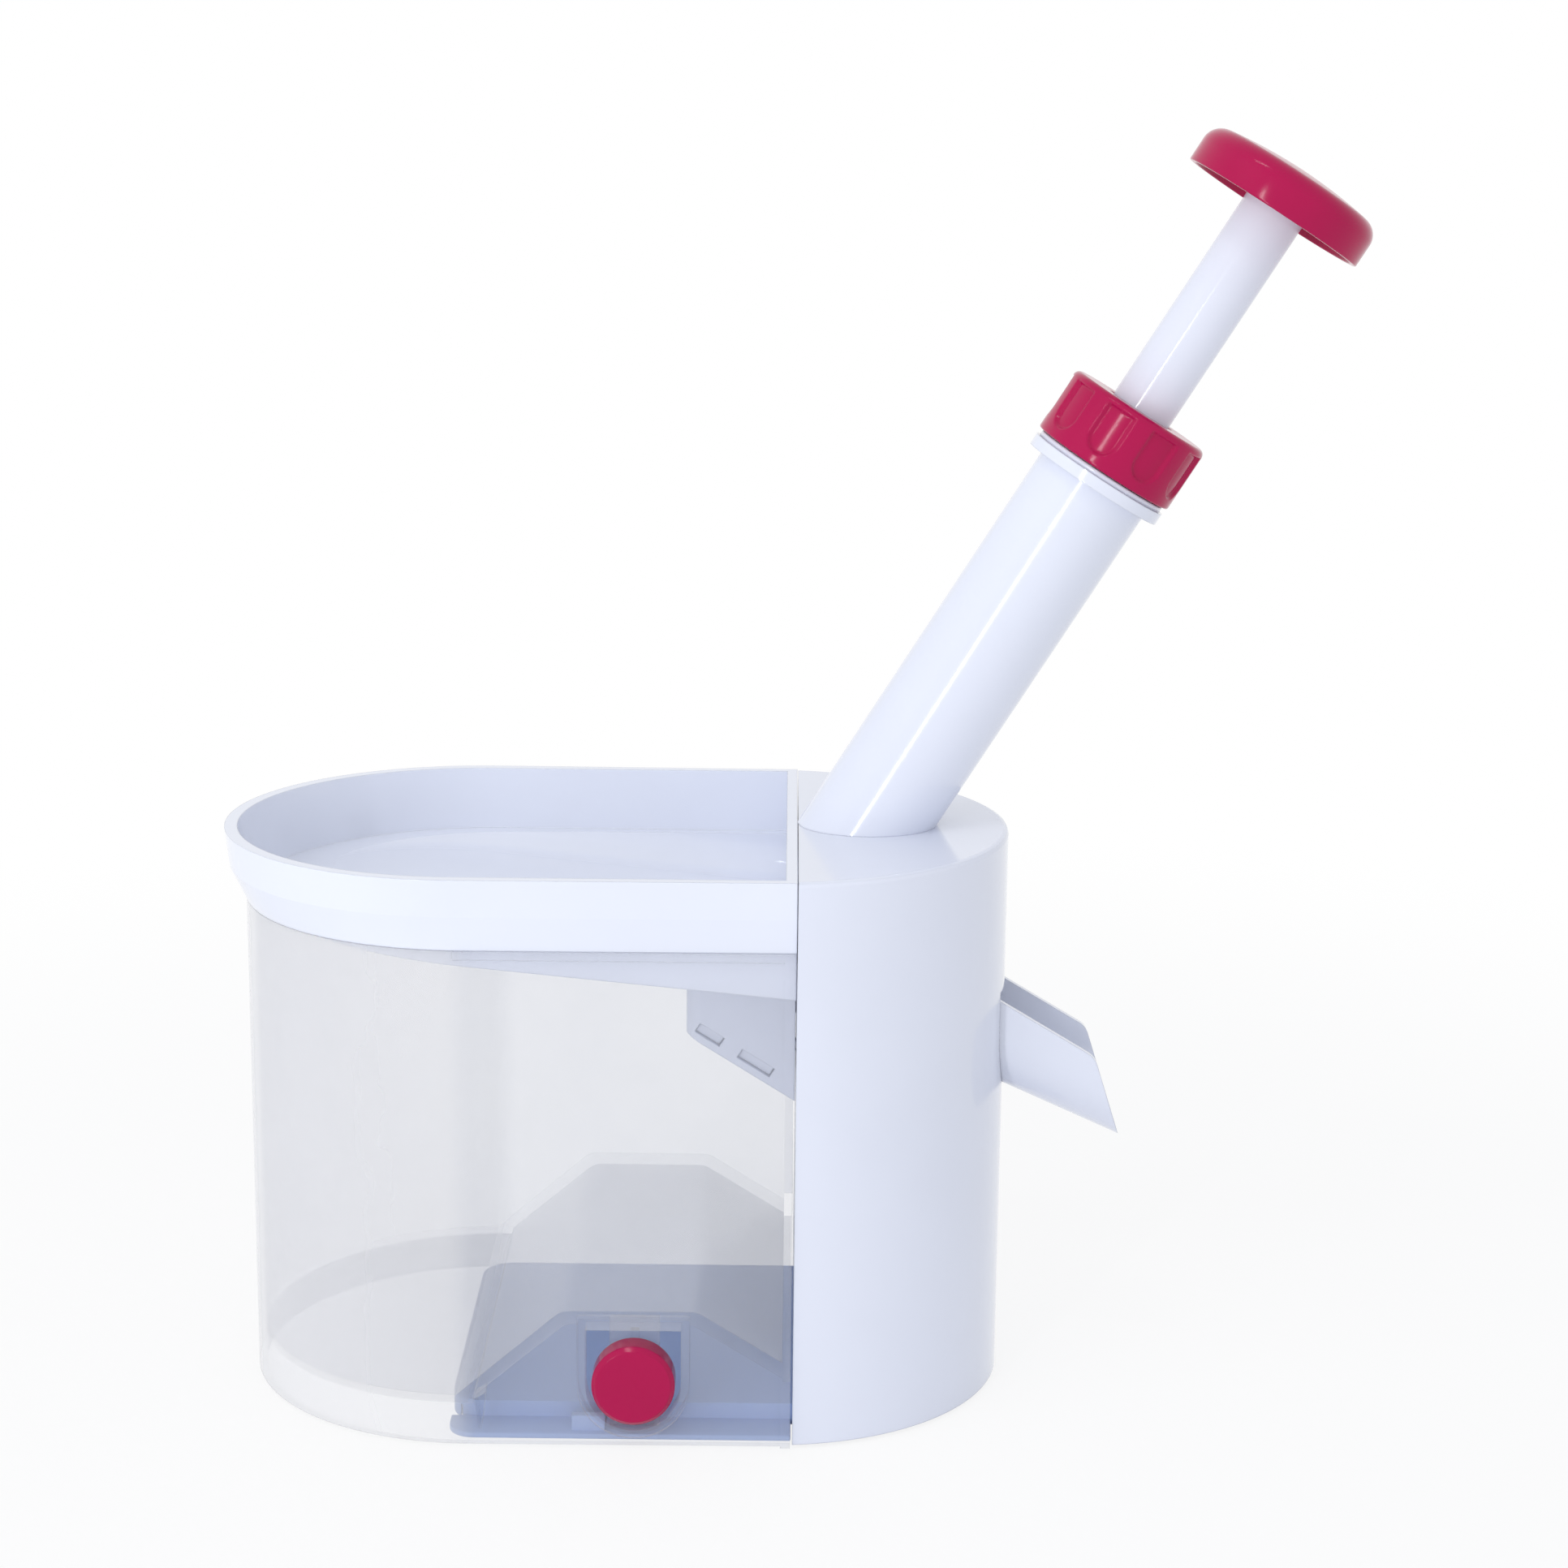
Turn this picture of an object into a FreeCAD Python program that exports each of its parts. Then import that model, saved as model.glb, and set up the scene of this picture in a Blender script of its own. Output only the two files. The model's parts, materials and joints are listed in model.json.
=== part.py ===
import FreeCAD, Part
import math
import os
import Sketcher
from FreeCAD import Vector, Placement, Rotation

# Cherry pitter with an inclined push plunger, in millimetres.
# X runs along the body towards the chute, Y from front to back, Z up.
# Sizes along X are counted from the middle of the body. The knob and the chute
# reach past the body, so origin_shift brings the origin under the middle of the whole.

# driving sizes of the whole body
DRIVING = {
    "origin_shift": -41.0,
    "body_half_length": 96.0,
    "container_radius": 58.0,
    "rim_flare": 2.0,
    "foot_taper": 3.0,
    "deck_height": 140.0,
    "table_gap": 1.0,
    "tower_left": 44.4,
    "tower_wall": 2.2,
    "partition_wall": 2.6,
    "deck_wall": 2.4,
    "deck_edge_round": 1.2,
    "joint_gap": 0.2,
    # plunger axis: it leans towards the chute and crosses the deck here
    "plunger_tilt": 32.0,
    "axis_at_deck": 61.3,
    # barrel, flange and neck
    "barrel_bore": 12.0,
    "barrel_wall": 2.5,
    "flange_step": 3.4,
    "flange_start": 99.6,
    "flange_thickness": 2.9,
    "neck_end": 110.0,
    "neck_wall": 1.9,
    "lug_step": 1.8,
    "lug_height": 2.2,
    "ledge_start": 8.5,
    "ledge_thickness": 2.5,
    "ledge_bore": 7.0,
    "spigot_radius": 10.5,
    # collar nut
    "collar_wall": 2.2,
    "collar_start": 104.7,
    "collar_height": 14.0,
    "collar_lip": 3.2,
    "collar_chamfer": 1.6,
    "grip_count": 9,
    "grip_width": 6.7,
    "grip_depth": 1.0,
    "grip_foot": 3.0,
    # plunger
    "tube_radius": 7.8,
    "tube_bore": 5.5,
    "stroke": 52.0,
    "knob_start": 176.0,
    "knob_radius": 23.3,
    "knob_side": 8.6,
    "knob_round": 4.6,
    "knob_height": 13.6,
    "knob_wall": 2.4,
    "pin_radius": 3.0,
    "pin_tip": -14.0,
    "stripper_end": -12.0,
    "running_clearance": 0.05,
    "guide_radius": 6.8,
    "flange_of_guide": 3.0,
    "bush_flange": 2.2,
    "stop_thickness": 3.0,
    # return spring
    "spring_radius": 9.9,
    "wire_radius": 0.9,
    "spring_turns": 10,
    # hopper tray
    "knee_drop": 9.0,
    "knee_flare": 1.3,
    "knee_inset": 1.0,
    "skirt_drop": 17.2,
    "crease_drop": 16.0,
    "rim_inset": 3.0,
    "bowl_gap": 0.3,
    "bowl_wall": 1.7,
    "bowl_round": 9.0,
    "floor_fall": 5.5,
    "floor_drop": 27.2,
    "floor_wall": 2.0,
    # cherry seat under the tray
    "seat_left": 17.5,
    "seat_half_depth": 18.0,
    "seat_end": -65.0,
    "cup_radius": 12.5,
    "cup_end": -52.0,
    "cup_start": -22.0,
    "throat_radius": 9.5,
    "gasket_start": -55.0,
    "gasket_thickness": 3.0,
    "gasket_radius": 11.6,
    "pit_hole_radius": 9.0,
    "seat_corner": 4.0,
    "frame_left": 9.6,
    "frame_right": 12.4,
    "frame_half_depth": 16.0,
    "slot_inner": 2.5,
    "slot_top": -60.7,
    "slot_low": -63.2,
    "seat_fit": 0.2,
    "gasket_hole": 3.6,
    "slit_width": 0.6,
    "slit_count": 6,
    # window that the pitted cherry is drawn through
    "window_half": 13.0,
    "window_low_drop": 48.0,
    "window_high_drop": 9.0,
    # chute
    "chute_fall": 24.2,
    "chute_radius": 14.0,
    "chute_wall": 2.0,
    "chute_gap": 0.3,
    "chute_drop": 65.7,
    "chute_side": 23.4,
    "chute_side_at_wall": 20.3,
    "chute_corner": 5.0,
    "chute_reach": 124.8,
    "chute_top_fall": 30.9,
    "chute_lip_lean": 41.9,
    # pit container
    "container_inset": 5.0,
    "container_wall": 2.0,
    "container_draft": 0.4,
    "container_floor": 12.5,
    "sill_drop": 76.0,
    "arch_left": -33.6,
    "arch_crown_left": -9.5,
    "arch_crown_right": 20.5,
    "arch_crown": 30.8,
    "arch_right_foot": 16.6,
    "arch_wall": 3.2,
    "arch_round": 5.0,
    "bead_height": 1.9,
    "bead_proud": 0.8,
    # push button window and latch
    "button_centre": 6.6,
    "button_height": 16.4,
    "button_radius": 9.9,
    "button_proud": 1.5,
    "button_depth": 6.5,
    "button_wall": 2.3,
    "stem_radius": 4.0,
    "window_radius": 11.3,
    "window_rim": 2.0,
    "window_proud": 0.8,
    "window_sleeve": 5.6,
    "window_top": 32.0,
    "tongue_half": 6.0,
    "tongue_thickness": 1.6,
    "tongue_end": 2.8,
    "tongue_behind": 7.4,
    "latch_gap": 0.3,
    # base plate
    "base_left": -38.0,
    "base_inset": 13.0,
    "base_height": 6.4,
    "base_wall": 2.2,
    "base_corner": 8.0,
    "tower_floor": 3.0,
    "foot_radius": 6.0,
    "foot_recess": 1.6,
    "screw_radius": 1.6,
    "boss_radius": 4.0,
    "boss_height": 20.0,
}

doc = FreeCAD.newDocument("cherry_pitter")
sheet = doc.addObject("Spreadsheet::Sheet", "Sizes")


class Size:
    """A number together with the sheet expression that it comes from."""

    def __init__(self, value, text):
        self.value = value
        self.text = text

    def __add__(self, other):
        other = as_size(other)
        return Size(self.value + other.value, "(%s + %s)" % (self.text, other.text))

    __radd__ = __add__

    def __sub__(self, other):
        other = as_size(other)
        return Size(self.value - other.value, "(%s - %s)" % (self.text, other.text))

    def __rsub__(self, other):
        return as_size(other) - self

    def __mul__(self, other):
        other = as_size(other)
        return Size(self.value * other.value, "(%s * %s)" % (self.text, other.text))

    __rmul__ = __mul__

    def __truediv__(self, other):
        other = as_size(other)
        return Size(self.value / other.value, "(%s / %s)" % (self.text, other.text))

    def __neg__(self):
        return Size(-self.value, "(0 - %s)" % self.text)


def as_size(value):
    if isinstance(value, Size):
        return value
    return Size(float(value), repr(float(value)))


def sine(angle):
    return Size(math.sin(math.radians(angle.value)), "sin(%s)" % angle.text)


def cosine(angle):
    return Size(math.cos(math.radians(angle.value)), "cos(%s)" % angle.text)


def tangent(angle):
    return sine(angle) / cosine(angle)


def root_of(size):
    return Size(math.sqrt(size.value), "sqrt(%s)" % size.text)


# one sheet row per driving size: its name and its value
named = {}
for row, (alias, number) in enumerate(DRIVING.items(), start=1):
    sheet.set("A%d" % row, alias)
    sheet.set("B%d" % row, repr(number))
    sheet.setAlias("B%d" % row, alias)
    named[alias] = Size(float(number), "Sizes.%s" % alias)
doc.recompute()


class Named:
    """Driving sizes as attributes, such as size.deck_height."""

    def __getattr__(self, alias):
        return named[alias]


size = Named()

# places that several pieces share
rim_radius = size.container_radius + size.rim_flare
tower_foot_radius = rim_radius - size.foot_taper
arc_centre = size.body_half_length - rim_radius
foot_centre = size.body_half_length - tower_foot_radius
across_all = rim_radius * 2.0 + 20.0
quarter_turn = 90.0
chute_turn = size.chute_fall + quarter_turn
tray_right = size.tower_left - size.joint_gap
container_centre = size.container_inset - size.body_half_length + size.container_radius
container_right = tray_right - 0.3
skirt_height = size.deck_height - size.skirt_drop
container_top = skirt_height - size.joint_gap
floor_low = size.deck_height - size.floor_drop
narrowest_inside = size.container_radius - size.container_wall - size.container_draft
bowl_radius = narrowest_inside - size.bowl_gap
window_low = size.deck_height - size.window_low_drop
window_high = size.deck_height - size.window_high_drop
chute_low_at_wall = size.deck_height - size.chute_drop
base_half_depth = size.container_radius - size.base_inset
tongue_front = size.container_radius - size.tongue_behind
barrel_radius = size.barrel_bore + size.barrel_wall
flange_radius = barrel_radius + size.flange_step
neck_radius = size.barrel_bore + size.neck_wall
lug_radius = neck_radius + size.lug_step
collar_inner = lug_radius + 0.3
collar_radius = collar_inner + size.collar_wall
guide_low = size.ledge_start + size.ledge_thickness
guide_top = guide_low + size.flange_of_guide
carrier_low = guide_top + size.stroke + 0.3
tube_end = carrier_low + 1.7
stop_top = size.flange_start - 2.5
stop_low = stop_top - size.stop_thickness
bush_end = size.collar_start + size.collar_height - size.collar_lip - 0.3
tube_top = size.knob_start + size.knob_side - 1.0


def bind(item, prop, value):
    """Set one property from a size, and tie it to the sheet."""
    value = as_size(value)
    item.setExpression(prop, value.text)


def vector_text(x, y, z):
    return "create(<<vector>>; %s; %s; %s)" % (as_size(x).text, as_size(y).text, as_size(z).text)


def place(item, prop, x, y, z, angle=0.0, about=(0, 1, 0)):
    """Tie a placement to the sheet: a point, and a turn about one axis."""
    angle = as_size(angle)
    x, y, z = as_size(x), as_size(y), as_size(z)
    turned = Rotation(Vector(*about), angle.value)
    setattr(item, prop, Placement(Vector(x.value, y.value, z.value), turned))
    turn = "create(<<rotation>>; create(<<vector>>; %d; %d; %d); %s)" % (about + (angle.text,))
    item.setExpression(prop, "create(<<placement>>; %s; %s)" % (vector_text(x, y, z), turn))


def new_body(label):
    body = doc.addObject("PartDesign::Body", label)
    body.Label = label
    place(body, "Placement", size.origin_shift, 0, 0)
    return body


def on_axis(label):
    """A body whose own Z axis is the plunger axis, from the deck up."""
    body = new_body(label)
    axis_foot = size.origin_shift + size.axis_at_deck
    place(body, "Placement", axis_foot, 0, size.deck_height, size.plunger_tilt)
    return body


def origin_plane(body, role):
    for feature in body.Origin.OriginFeatures:
        if feature.Role == role:
            return feature
    raise RuntimeError("no plane " + role)


def new_sketch(body, name, role="XY_Plane", offset=None):
    sketch = body.newObject("Sketcher::SketchObject", name)
    sketch.AttachmentSupport = [(origin_plane(body, role), "")]
    sketch.MapMode = "FlatFace"
    if offset is not None:
        offset = as_size(offset)
        sketch.AttachmentOffset = Placement(Vector(0, 0, offset.value), Rotation())
        sketch.setExpression("AttachmentOffset.Base.z", offset.text)
    return sketch


def fix_point(sketch, geo, pos, x, y, tag):
    """Hold one point of a sketch at two sizes."""
    for letter, kind, other_axis, value in (("x", "DistanceX", -2, x), ("y", "DistanceY", -1, y)):
        value = as_size(value)
        if value.value == 0.0 and value.text == "0.0":
            sketch.addConstraint(sketcher("PointOnObject", geo, pos, other_axis))
            continue
        index = sketch.addConstraint(sketcher(kind, geo, pos, value.value))
        sketch.renameConstraint(index, tag + letter)
        sketch.setExpression("Constraints." + tag + letter, value.text)


def sketcher(*arguments):
    return Sketcher.Constraint(*arguments)


def numbers(point):
    return Vector(as_size(point[0]).value, as_size(point[1]).value, 0)


def polygon(sketch, points, tag="p"):
    """A closed outline of straight lines through points given as sizes."""
    first = sketch.GeometryCount
    count = len(points)
    for index in range(count):
        start, end = numbers(points[index]), numbers(points[(index + 1) % count])
        sketch.addGeometry(Part.LineSegment(start, end), False)
    for index in range(count):
        sketch.addConstraint(sketcher("Coincident", first + index, 2, first + (index + 1) % count, 1))
        fix_point(sketch, first + index, 1, points[index][0], points[index][1], "%s%d" % (tag, index))
    return sketch


def rectangle(sketch, left, low, right, high, tag="r"):
    return polygon(sketch, [(left, low), (right, low), (right, high), (left, high)], tag)


def circle(sketch, x, y, radius, tag="c"):
    radius = as_size(radius)
    geo = sketch.addGeometry(Part.Circle(numbers((x, y)), Vector(0, 0, 1), radius.value), False)
    fix_point(sketch, geo, 3, x, y, tag)
    index = sketch.addConstraint(sketcher("Radius", geo, radius.value))
    sketch.renameConstraint(index, tag + "r")
    sketch.setExpression("Constraints." + tag + "r", radius.text)
    return geo


def arc_radius(sketch, geo, radius, tag):
    index = sketch.addConstraint(sketcher("Radius", geo, radius.value))
    sketch.renameConstraint(index, tag)
    sketch.setExpression("Constraints." + tag, radius.text)


def tray_outline(sketch, centre, radius, right, right_half=None):
    """Half round at the left, straight sides, cut square at the right."""
    right_half = radius if right_half is None else right_half
    centre, radius, right, right_half = [as_size(v) for v in (centre, radius, right, right_half)]
    round_end = Part.ArcOfCircle(
        Part.Circle(Vector(centre.value, 0, 0), Vector(0, 0, 1), radius.value), math.pi / 2, 3 * math.pi / 2)
    arc = sketch.addGeometry(round_end, False)
    top_left, low_left = (centre, radius), (centre, -radius)
    corners = [low_left, (right, -right_half), (right, right_half), top_left]
    lines = []
    for start, end in zip(corners[:-1], corners[1:]):
        lines.append(sketch.addGeometry(Part.LineSegment(numbers(start), numbers(end)), False))
    sketch.addConstraint(sketcher("Coincident", arc, 2, lines[0], 1))
    sketch.addConstraint(sketcher("Coincident", lines[0], 2, lines[1], 1))
    sketch.addConstraint(sketcher("Coincident", lines[1], 2, lines[2], 1))
    sketch.addConstraint(sketcher("Coincident", lines[2], 2, arc, 1))
    fix_point(sketch, arc, 3, centre, 0, "centre")
    fix_point(sketch, lines[0], 1, centre, -radius, "low")
    index = sketch.addConstraint(sketcher("DistanceX", arc, 1, centre.value))
    sketch.renameConstraint(index, "highx")
    sketch.setExpression("Constraints.highx", centre.text)
    fix_point(sketch, lines[1], 1, right, -right_half, "right")
    fix_point(sketch, lines[2], 1, right, right_half, "corner")
    return sketch


def tower_outline(sketch, centre, radius, left):
    """A round nose cut off square at the left."""
    half = root_of(radius * radius - (left - centre) * (left - centre))
    angle = math.atan2(half.value, (left - centre).value)
    nose = Part.ArcOfCircle(
        Part.Circle(Vector(centre.value, 0, 0), Vector(0, 0, 1), radius.value), -angle, angle)
    arc = sketch.addGeometry(nose, False)
    chord = sketch.addGeometry(
        Part.LineSegment(Vector(left.value, half.value, 0), Vector(left.value, -half.value, 0)), False)
    sketch.addConstraint(sketcher("Coincident", arc, 2, chord, 1))
    sketch.addConstraint(sketcher("Coincident", chord, 2, arc, 1))
    fix_point(sketch, arc, 3, centre, 0, "centre")
    arc_radius(sketch, arc, radius, "nose")
    sketch.addConstraint(sketcher("Vertical", chord))
    index = sketch.addConstraint(sketcher("DistanceX", chord, 1, left.value))
    sketch.renameConstraint(index, "leftx")
    sketch.setExpression("Constraints.leftx", left.text)
    return sketch


def u_outline(sketch, x, y, radius, top, tag):
    """A U: half round below, straight sides, flat on top."""
    x, y, radius, top = [as_size(v) for v in (x, y, radius, top)]
    bowl = Part.ArcOfCircle(
        Part.Circle(Vector(x.value, y.value, 0), Vector(0, 0, 1), radius.value), math.pi, 2 * math.pi)
    arc = sketch.addGeometry(bowl, False)
    corners = [(x + radius, y), (x + radius, top), (x - radius, top), (x - radius, y)]
    lines = []
    for start, end in zip(corners[:-1], corners[1:]):
        lines.append(sketch.addGeometry(Part.LineSegment(numbers(start), numbers(end)), False))
    sketch.addConstraint(sketcher("Coincident", arc, 2, lines[0], 1))
    sketch.addConstraint(sketcher("Coincident", lines[0], 2, lines[1], 1))
    sketch.addConstraint(sketcher("Coincident", lines[1], 2, lines[2], 1))
    sketch.addConstraint(sketcher("Coincident", lines[2], 2, arc, 1))
    fix_point(sketch, arc, 3, x, y, tag + "centre")
    fix_point(sketch, lines[0], 1, x + radius, y, tag + "side")
    fix_point(sketch, lines[1], 1, x + radius, top, tag + "top")
    fix_point(sketch, lines[2], 1, x - radius, top, tag + "far")
    index = sketch.addConstraint(sketcher("DistanceY", arc, 1, y.value))
    sketch.renameConstraint(index, tag + "rest")
    sketch.setExpression("Constraints." + tag + "rest", y.text)
    return sketch


def trough_outline(sketch, radius, base, top):
    """The U of the chute, lying on its side because its own X axis points down."""
    radius, base, top = as_size(radius), as_size(base), as_size(top)
    bowl_curve = Part.Circle(Vector(base.value, 0, 0), Vector(0, 0, 1), radius.value)
    arc = sketch.addGeometry(Part.ArcOfCircle(bowl_curve, -math.pi / 2, math.pi / 2), False)
    corners = [(base, radius), (top, radius), (top, -radius), (base, -radius)]
    lines = []
    for start, end in zip(corners[:-1], corners[1:]):
        lines.append(sketch.addGeometry(Part.LineSegment(numbers(start), numbers(end)), False))
    sketch.addConstraint(sketcher("Coincident", arc, 2, lines[0], 1))
    sketch.addConstraint(sketcher("Coincident", lines[0], 2, lines[1], 1))
    sketch.addConstraint(sketcher("Coincident", lines[1], 2, lines[2], 1))
    sketch.addConstraint(sketcher("Coincident", lines[2], 2, arc, 1))
    fix_point(sketch, arc, 3, base, 0, "centre")
    fix_point(sketch, lines[0], 1, base, radius, "start")
    fix_point(sketch, lines[1], 1, top, radius, "side")
    fix_point(sketch, lines[2], 1, top, -radius, "far")
    index = sketch.addConstraint(sketcher("DistanceX", arc, 1, base.value))
    sketch.renameConstraint(index, "rest")
    sketch.setExpression("Constraints.rest", base.text)


def finish_feature(body, feature, sketch=None):
    if sketch is not None:
        sketch.Visibility = False
    doc.recompute()
    body.Tip = feature
    return feature


def extrude(body, kind, sketch, length, reverse=False, both=False):
    feature = body.newObject("PartDesign::" + kind, sketch.Name + kind)
    feature.Profile = sketch
    length = as_size(length)
    feature.Length = length.value
    bind(feature, "Length", length)
    feature.Reversed = reverse
    feature.Midplane = both
    return finish_feature(body, feature, sketch)


def pad(body, sketch, length, reverse=False, both=False):
    return extrude(body, "Pad", sketch, length, reverse, both)


def pocket(body, sketch, length, reverse=False, both=False):
    before = body.Shape.Volume
    feature = extrude(body, "Pocket", sketch, length, reverse, both)
    if body.Shape.Volume > before - 0.01:
        raise RuntimeError("%s in %s cuts nothing" % (sketch.Name, body.Label))
    return feature


def revolve(body, points, name, angle=360.0):
    """Turn an outline of (radius, height) points about the body's Z axis."""
    sketch = new_sketch(body, name, "XZ_Plane")
    polygon(sketch, points)
    feature = body.newObject("PartDesign::Revolution", name + "Turn")
    feature.Profile = sketch
    feature.ReferenceAxis = (sketch, ["V_Axis"])
    feature.Angle = angle
    feature.Midplane = angle < 360.0
    return finish_feature(body, feature, sketch)


def loft(body, kind, sections, ruled=True):
    feature = body.newObject("PartDesign::" + kind, sections[0].Name + kind)
    feature.Profile = sections[0]
    feature.Sections = sections[1:]
    feature.Ruled = ruled
    for sketch in sections:
        sketch.Visibility = False
    return finish_feature(body, feature)


def cut_cylinder(body, name, radius, height, x, y, z, angle=0.0):
    """Bore a hole that starts at a point and runs up, or up the leaning axis."""
    sketch = new_sketch(body, name)
    place(sketch, "AttachmentOffset", x, y, z, angle)
    circle(sketch, 0, 0, radius)
    return pocket(body, sketch, height, reverse=True)


def add_cylinder(body, name, radius, height, x, y, z):
    sketch = new_sketch(body, name, offset=z)
    circle(sketch, x, y, radius)
    return pad(body, sketch, height)


def edge_names(feature, wanted):
    names = []
    for index, edge in enumerate(feature.Shape.Edges, start=1):
        if wanted(edge):
            names.append("Edge%d" % index)
    return names


def fillet(body, base, wanted, radius, kind="Fillet"):
    names = edge_names(base, wanted)
    if not names:
        raise RuntimeError("no edge to round on " + body.Label)
    feature = body.newObject("PartDesign::" + kind, base.Name + kind)
    feature.Base = (base, names)
    bind(feature, "Radius" if kind == "Fillet" else "Size", radius)
    return finish_feature(body, feature)


def polar(body, feature, count, axis_role="Z_Axis"):
    pattern = body.newObject("PartDesign::PolarPattern", feature.Name + "Ring")
    pattern.Originals = [feature]
    pattern.Axis = (origin_plane(body, axis_role), [""])
    pattern.Angle = 360.0
    pattern.Occurrences = int(as_size(count).value)
    bind(pattern, "Occurrences", count)
    return finish_feature(body, pattern)


def axis_x(along):
    """X of the point of the plunger axis at a height along it."""
    return size.axis_at_deck + along * sine(size.plunger_tilt)


def axis_z(along):
    return size.deck_height + along * cosine(size.plunger_tilt)


def side_point(across, along):
    """A point of the XZ plane, given across and along the plunger axis."""
    x = axis_x(along) + across * cosine(size.plunger_tilt)
    z = axis_z(along) - across * sine(size.plunger_tilt)
    return x, z


def level(edge, height, slack=0.05):
    """True for an edge that lies at one height."""
    box = edge.BoundBox
    return abs(box.ZMin - height) < slack and abs(box.ZMax - height) < slack


def upright(edge, x):
    box = edge.BoundBox
    return box.ZLength > 5.0 and abs(box.XMin - x) < 0.05 and abs(box.XMax - x) < 0.05


# tower housing: one tapering shell with the deck on top, open below
tower = new_body("tower_housing")
tower_foot = new_sketch(tower, "towerFoot", offset=size.table_gap)
tower_outline(tower_foot, foot_centre, tower_foot_radius, size.tower_left)
tower_sections = [tower_foot]
edge_round = size.deck_edge_round
for name, below, inset in (
        ("towerShoulder", edge_round, 0.0),
        ("towerRound", edge_round * 0.3, edge_round * 0.3),
        ("towerTop", 0.0, edge_round)):
    section = new_sketch(tower, name, offset=size.deck_height - below)
    tower_outline(section, arc_centre, rim_radius - inset, size.tower_left)
    tower_sections.append(section)
loft(tower, "AdditiveLoft", tower_sections)
hollow_foot = new_sketch(tower, "hollowFoot", offset=-size.table_gap)
tower_outline(
    hollow_foot, foot_centre, tower_foot_radius - size.tower_wall, size.tower_left + size.tower_wall)
hollow_top = new_sketch(tower, "hollowTop", offset=size.deck_height - size.deck_wall)
tower_outline(hollow_top, arc_centre, rim_radius - size.tower_wall, size.tower_left + size.tower_wall)
loft(tower, "SubtractiveLoft", [hollow_foot, hollow_top])
seat_view = new_sketch(tower, "seatView", "YZ_Plane", size.tower_left - 1.0)
rectangle(seat_view, -size.window_half, window_low, size.window_half, window_high)
pocket(tower, seat_view, size.tower_wall + 2.0, reverse=True)
base_notch = new_sketch(tower, "baseNotch", "YZ_Plane", size.tower_left - 1.0)
notch_half = base_half_depth + 0.3
rectangle(base_notch, -notch_half, -size.table_gap, notch_half, size.base_height + 0.3)
pocket(tower, base_notch, size.tower_wall + 2.0, reverse=True)
spout_hole = new_sketch(tower, "spoutHole")
place(spout_hole, "AttachmentOffset", size.body_half_length, 0, chute_low_at_wall, chute_turn)
trough_outline(
    spout_hole, size.chute_radius + size.chute_gap, -size.chute_radius, -size.chute_side - size.chute_gap)
pocket(tower, spout_hole, size.chute_radius * 2.0, both=True)
hole_start = as_size(-9.8)
cut_cylinder(
    tower, "plungerHole", size.spigot_radius + 0.1, 19.0,
    axis_x(hole_start), 0, axis_z(hole_start), size.plunger_tilt)
boss_ring = tower_foot_radius - size.tower_wall - 3.0
boss_start = size.table_gap + size.tower_floor
boss_places = []
for turn in (-60.0, 0.0, 60.0):
    turn = as_size(turn)
    boss_places.append((foot_centre + boss_ring * cosine(turn), boss_ring * sine(turn)))
for number, (x, y) in enumerate(boss_places, start=1):
    add_cylinder(tower, "boss%d" % number, size.boss_radius, size.boss_height, x, y, boss_start)
    cut_cylinder(tower, "pilot%d" % number, size.screw_radius, 12.0, x, y, boss_start)
tie_holes = (-1, 1)
tie_height = window_low - 4.0
tie_side = size.window_half + 2.6
for number, side in enumerate(tie_holes, start=1):
    hole = new_sketch(tower, "tie%d" % number, "YZ_Plane", size.tower_left - 1.0)
    circle(hole, tie_side * side, tie_height, size.screw_radius)
    pocket(tower, hole, size.tower_wall + 2.0, reverse=True)

# hopper tray: flared rim, sloping floor, cherry seat and the wall to the tower
bowl_left = container_centre
underside = floor_low - size.floor_wall
fall = tangent(size.floor_fall)
shell_body = new_body("trayShell")
bowl = new_sketch(shell_body, "bowl", offset=floor_low - 8.0)
tray_outline(bowl, bowl_left, bowl_radius, tray_right, bowl_radius - size.container_draft)
pad(shell_body, bowl, skirt_height - floor_low + 8.4)


def slope_points(height_at_right):
    """A region below a plane that falls towards the tower."""
    right, left = tray_right + 5.0, -size.body_half_length - 5.0
    high = height_at_right + (tray_right - left) * fall
    low = height_at_right - 5.0 * fall
    return [(left, high), (left, 60.0), (right, 60.0), (right, low)]


under = new_sketch(shell_body, "under", "XZ_Plane")
polygon(under, slope_points(underside))
pocket(shell_body, under, across_all, both=True)
rim_sections = []
knee_radius = size.container_radius + size.knee_flare
knee_centre = size.knee_inset - size.body_half_length + knee_radius
for name, height, centre, radius in (
        ("skirt", skirt_height, container_centre, size.container_radius),
        ("knee", size.deck_height - size.knee_drop, knee_centre, knee_radius),
        ("rim", size.deck_height, -arc_centre, rim_radius)):
    section = new_sketch(shell_body, name, offset=height)
    tray_outline(section, centre, radius, tray_right, radius - 0.6)
    rim_sections.append(section)
loft(shell_body, "AdditiveLoft", rim_sections)
seat_low_left = axis_z(size.seat_end) + (axis_x(size.seat_end) - size.seat_left) * tangent(size.plunger_tilt)
seat_low_right = axis_z(size.seat_end) - (tray_right - axis_x(size.seat_end)) * tangent(size.plunger_tilt)
seat = new_sketch(shell_body, "seat", "XZ_Plane")
polygon(seat, [
    (size.seat_left, seat_low_left),
    (tray_right, seat_low_right),
    (tray_right, underside + 1.0),
    (size.seat_left, underside + 1.0 + (tray_right - size.seat_left) * fall)])
seat_pad = pad(shell_body, seat, size.seat_half_depth * 2.0, both=True)
fillet(shell_body, seat_pad, lambda e: upright(e, size.seat_left.value), size.seat_corner)
throat_start = size.seat_end - 5.0
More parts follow.
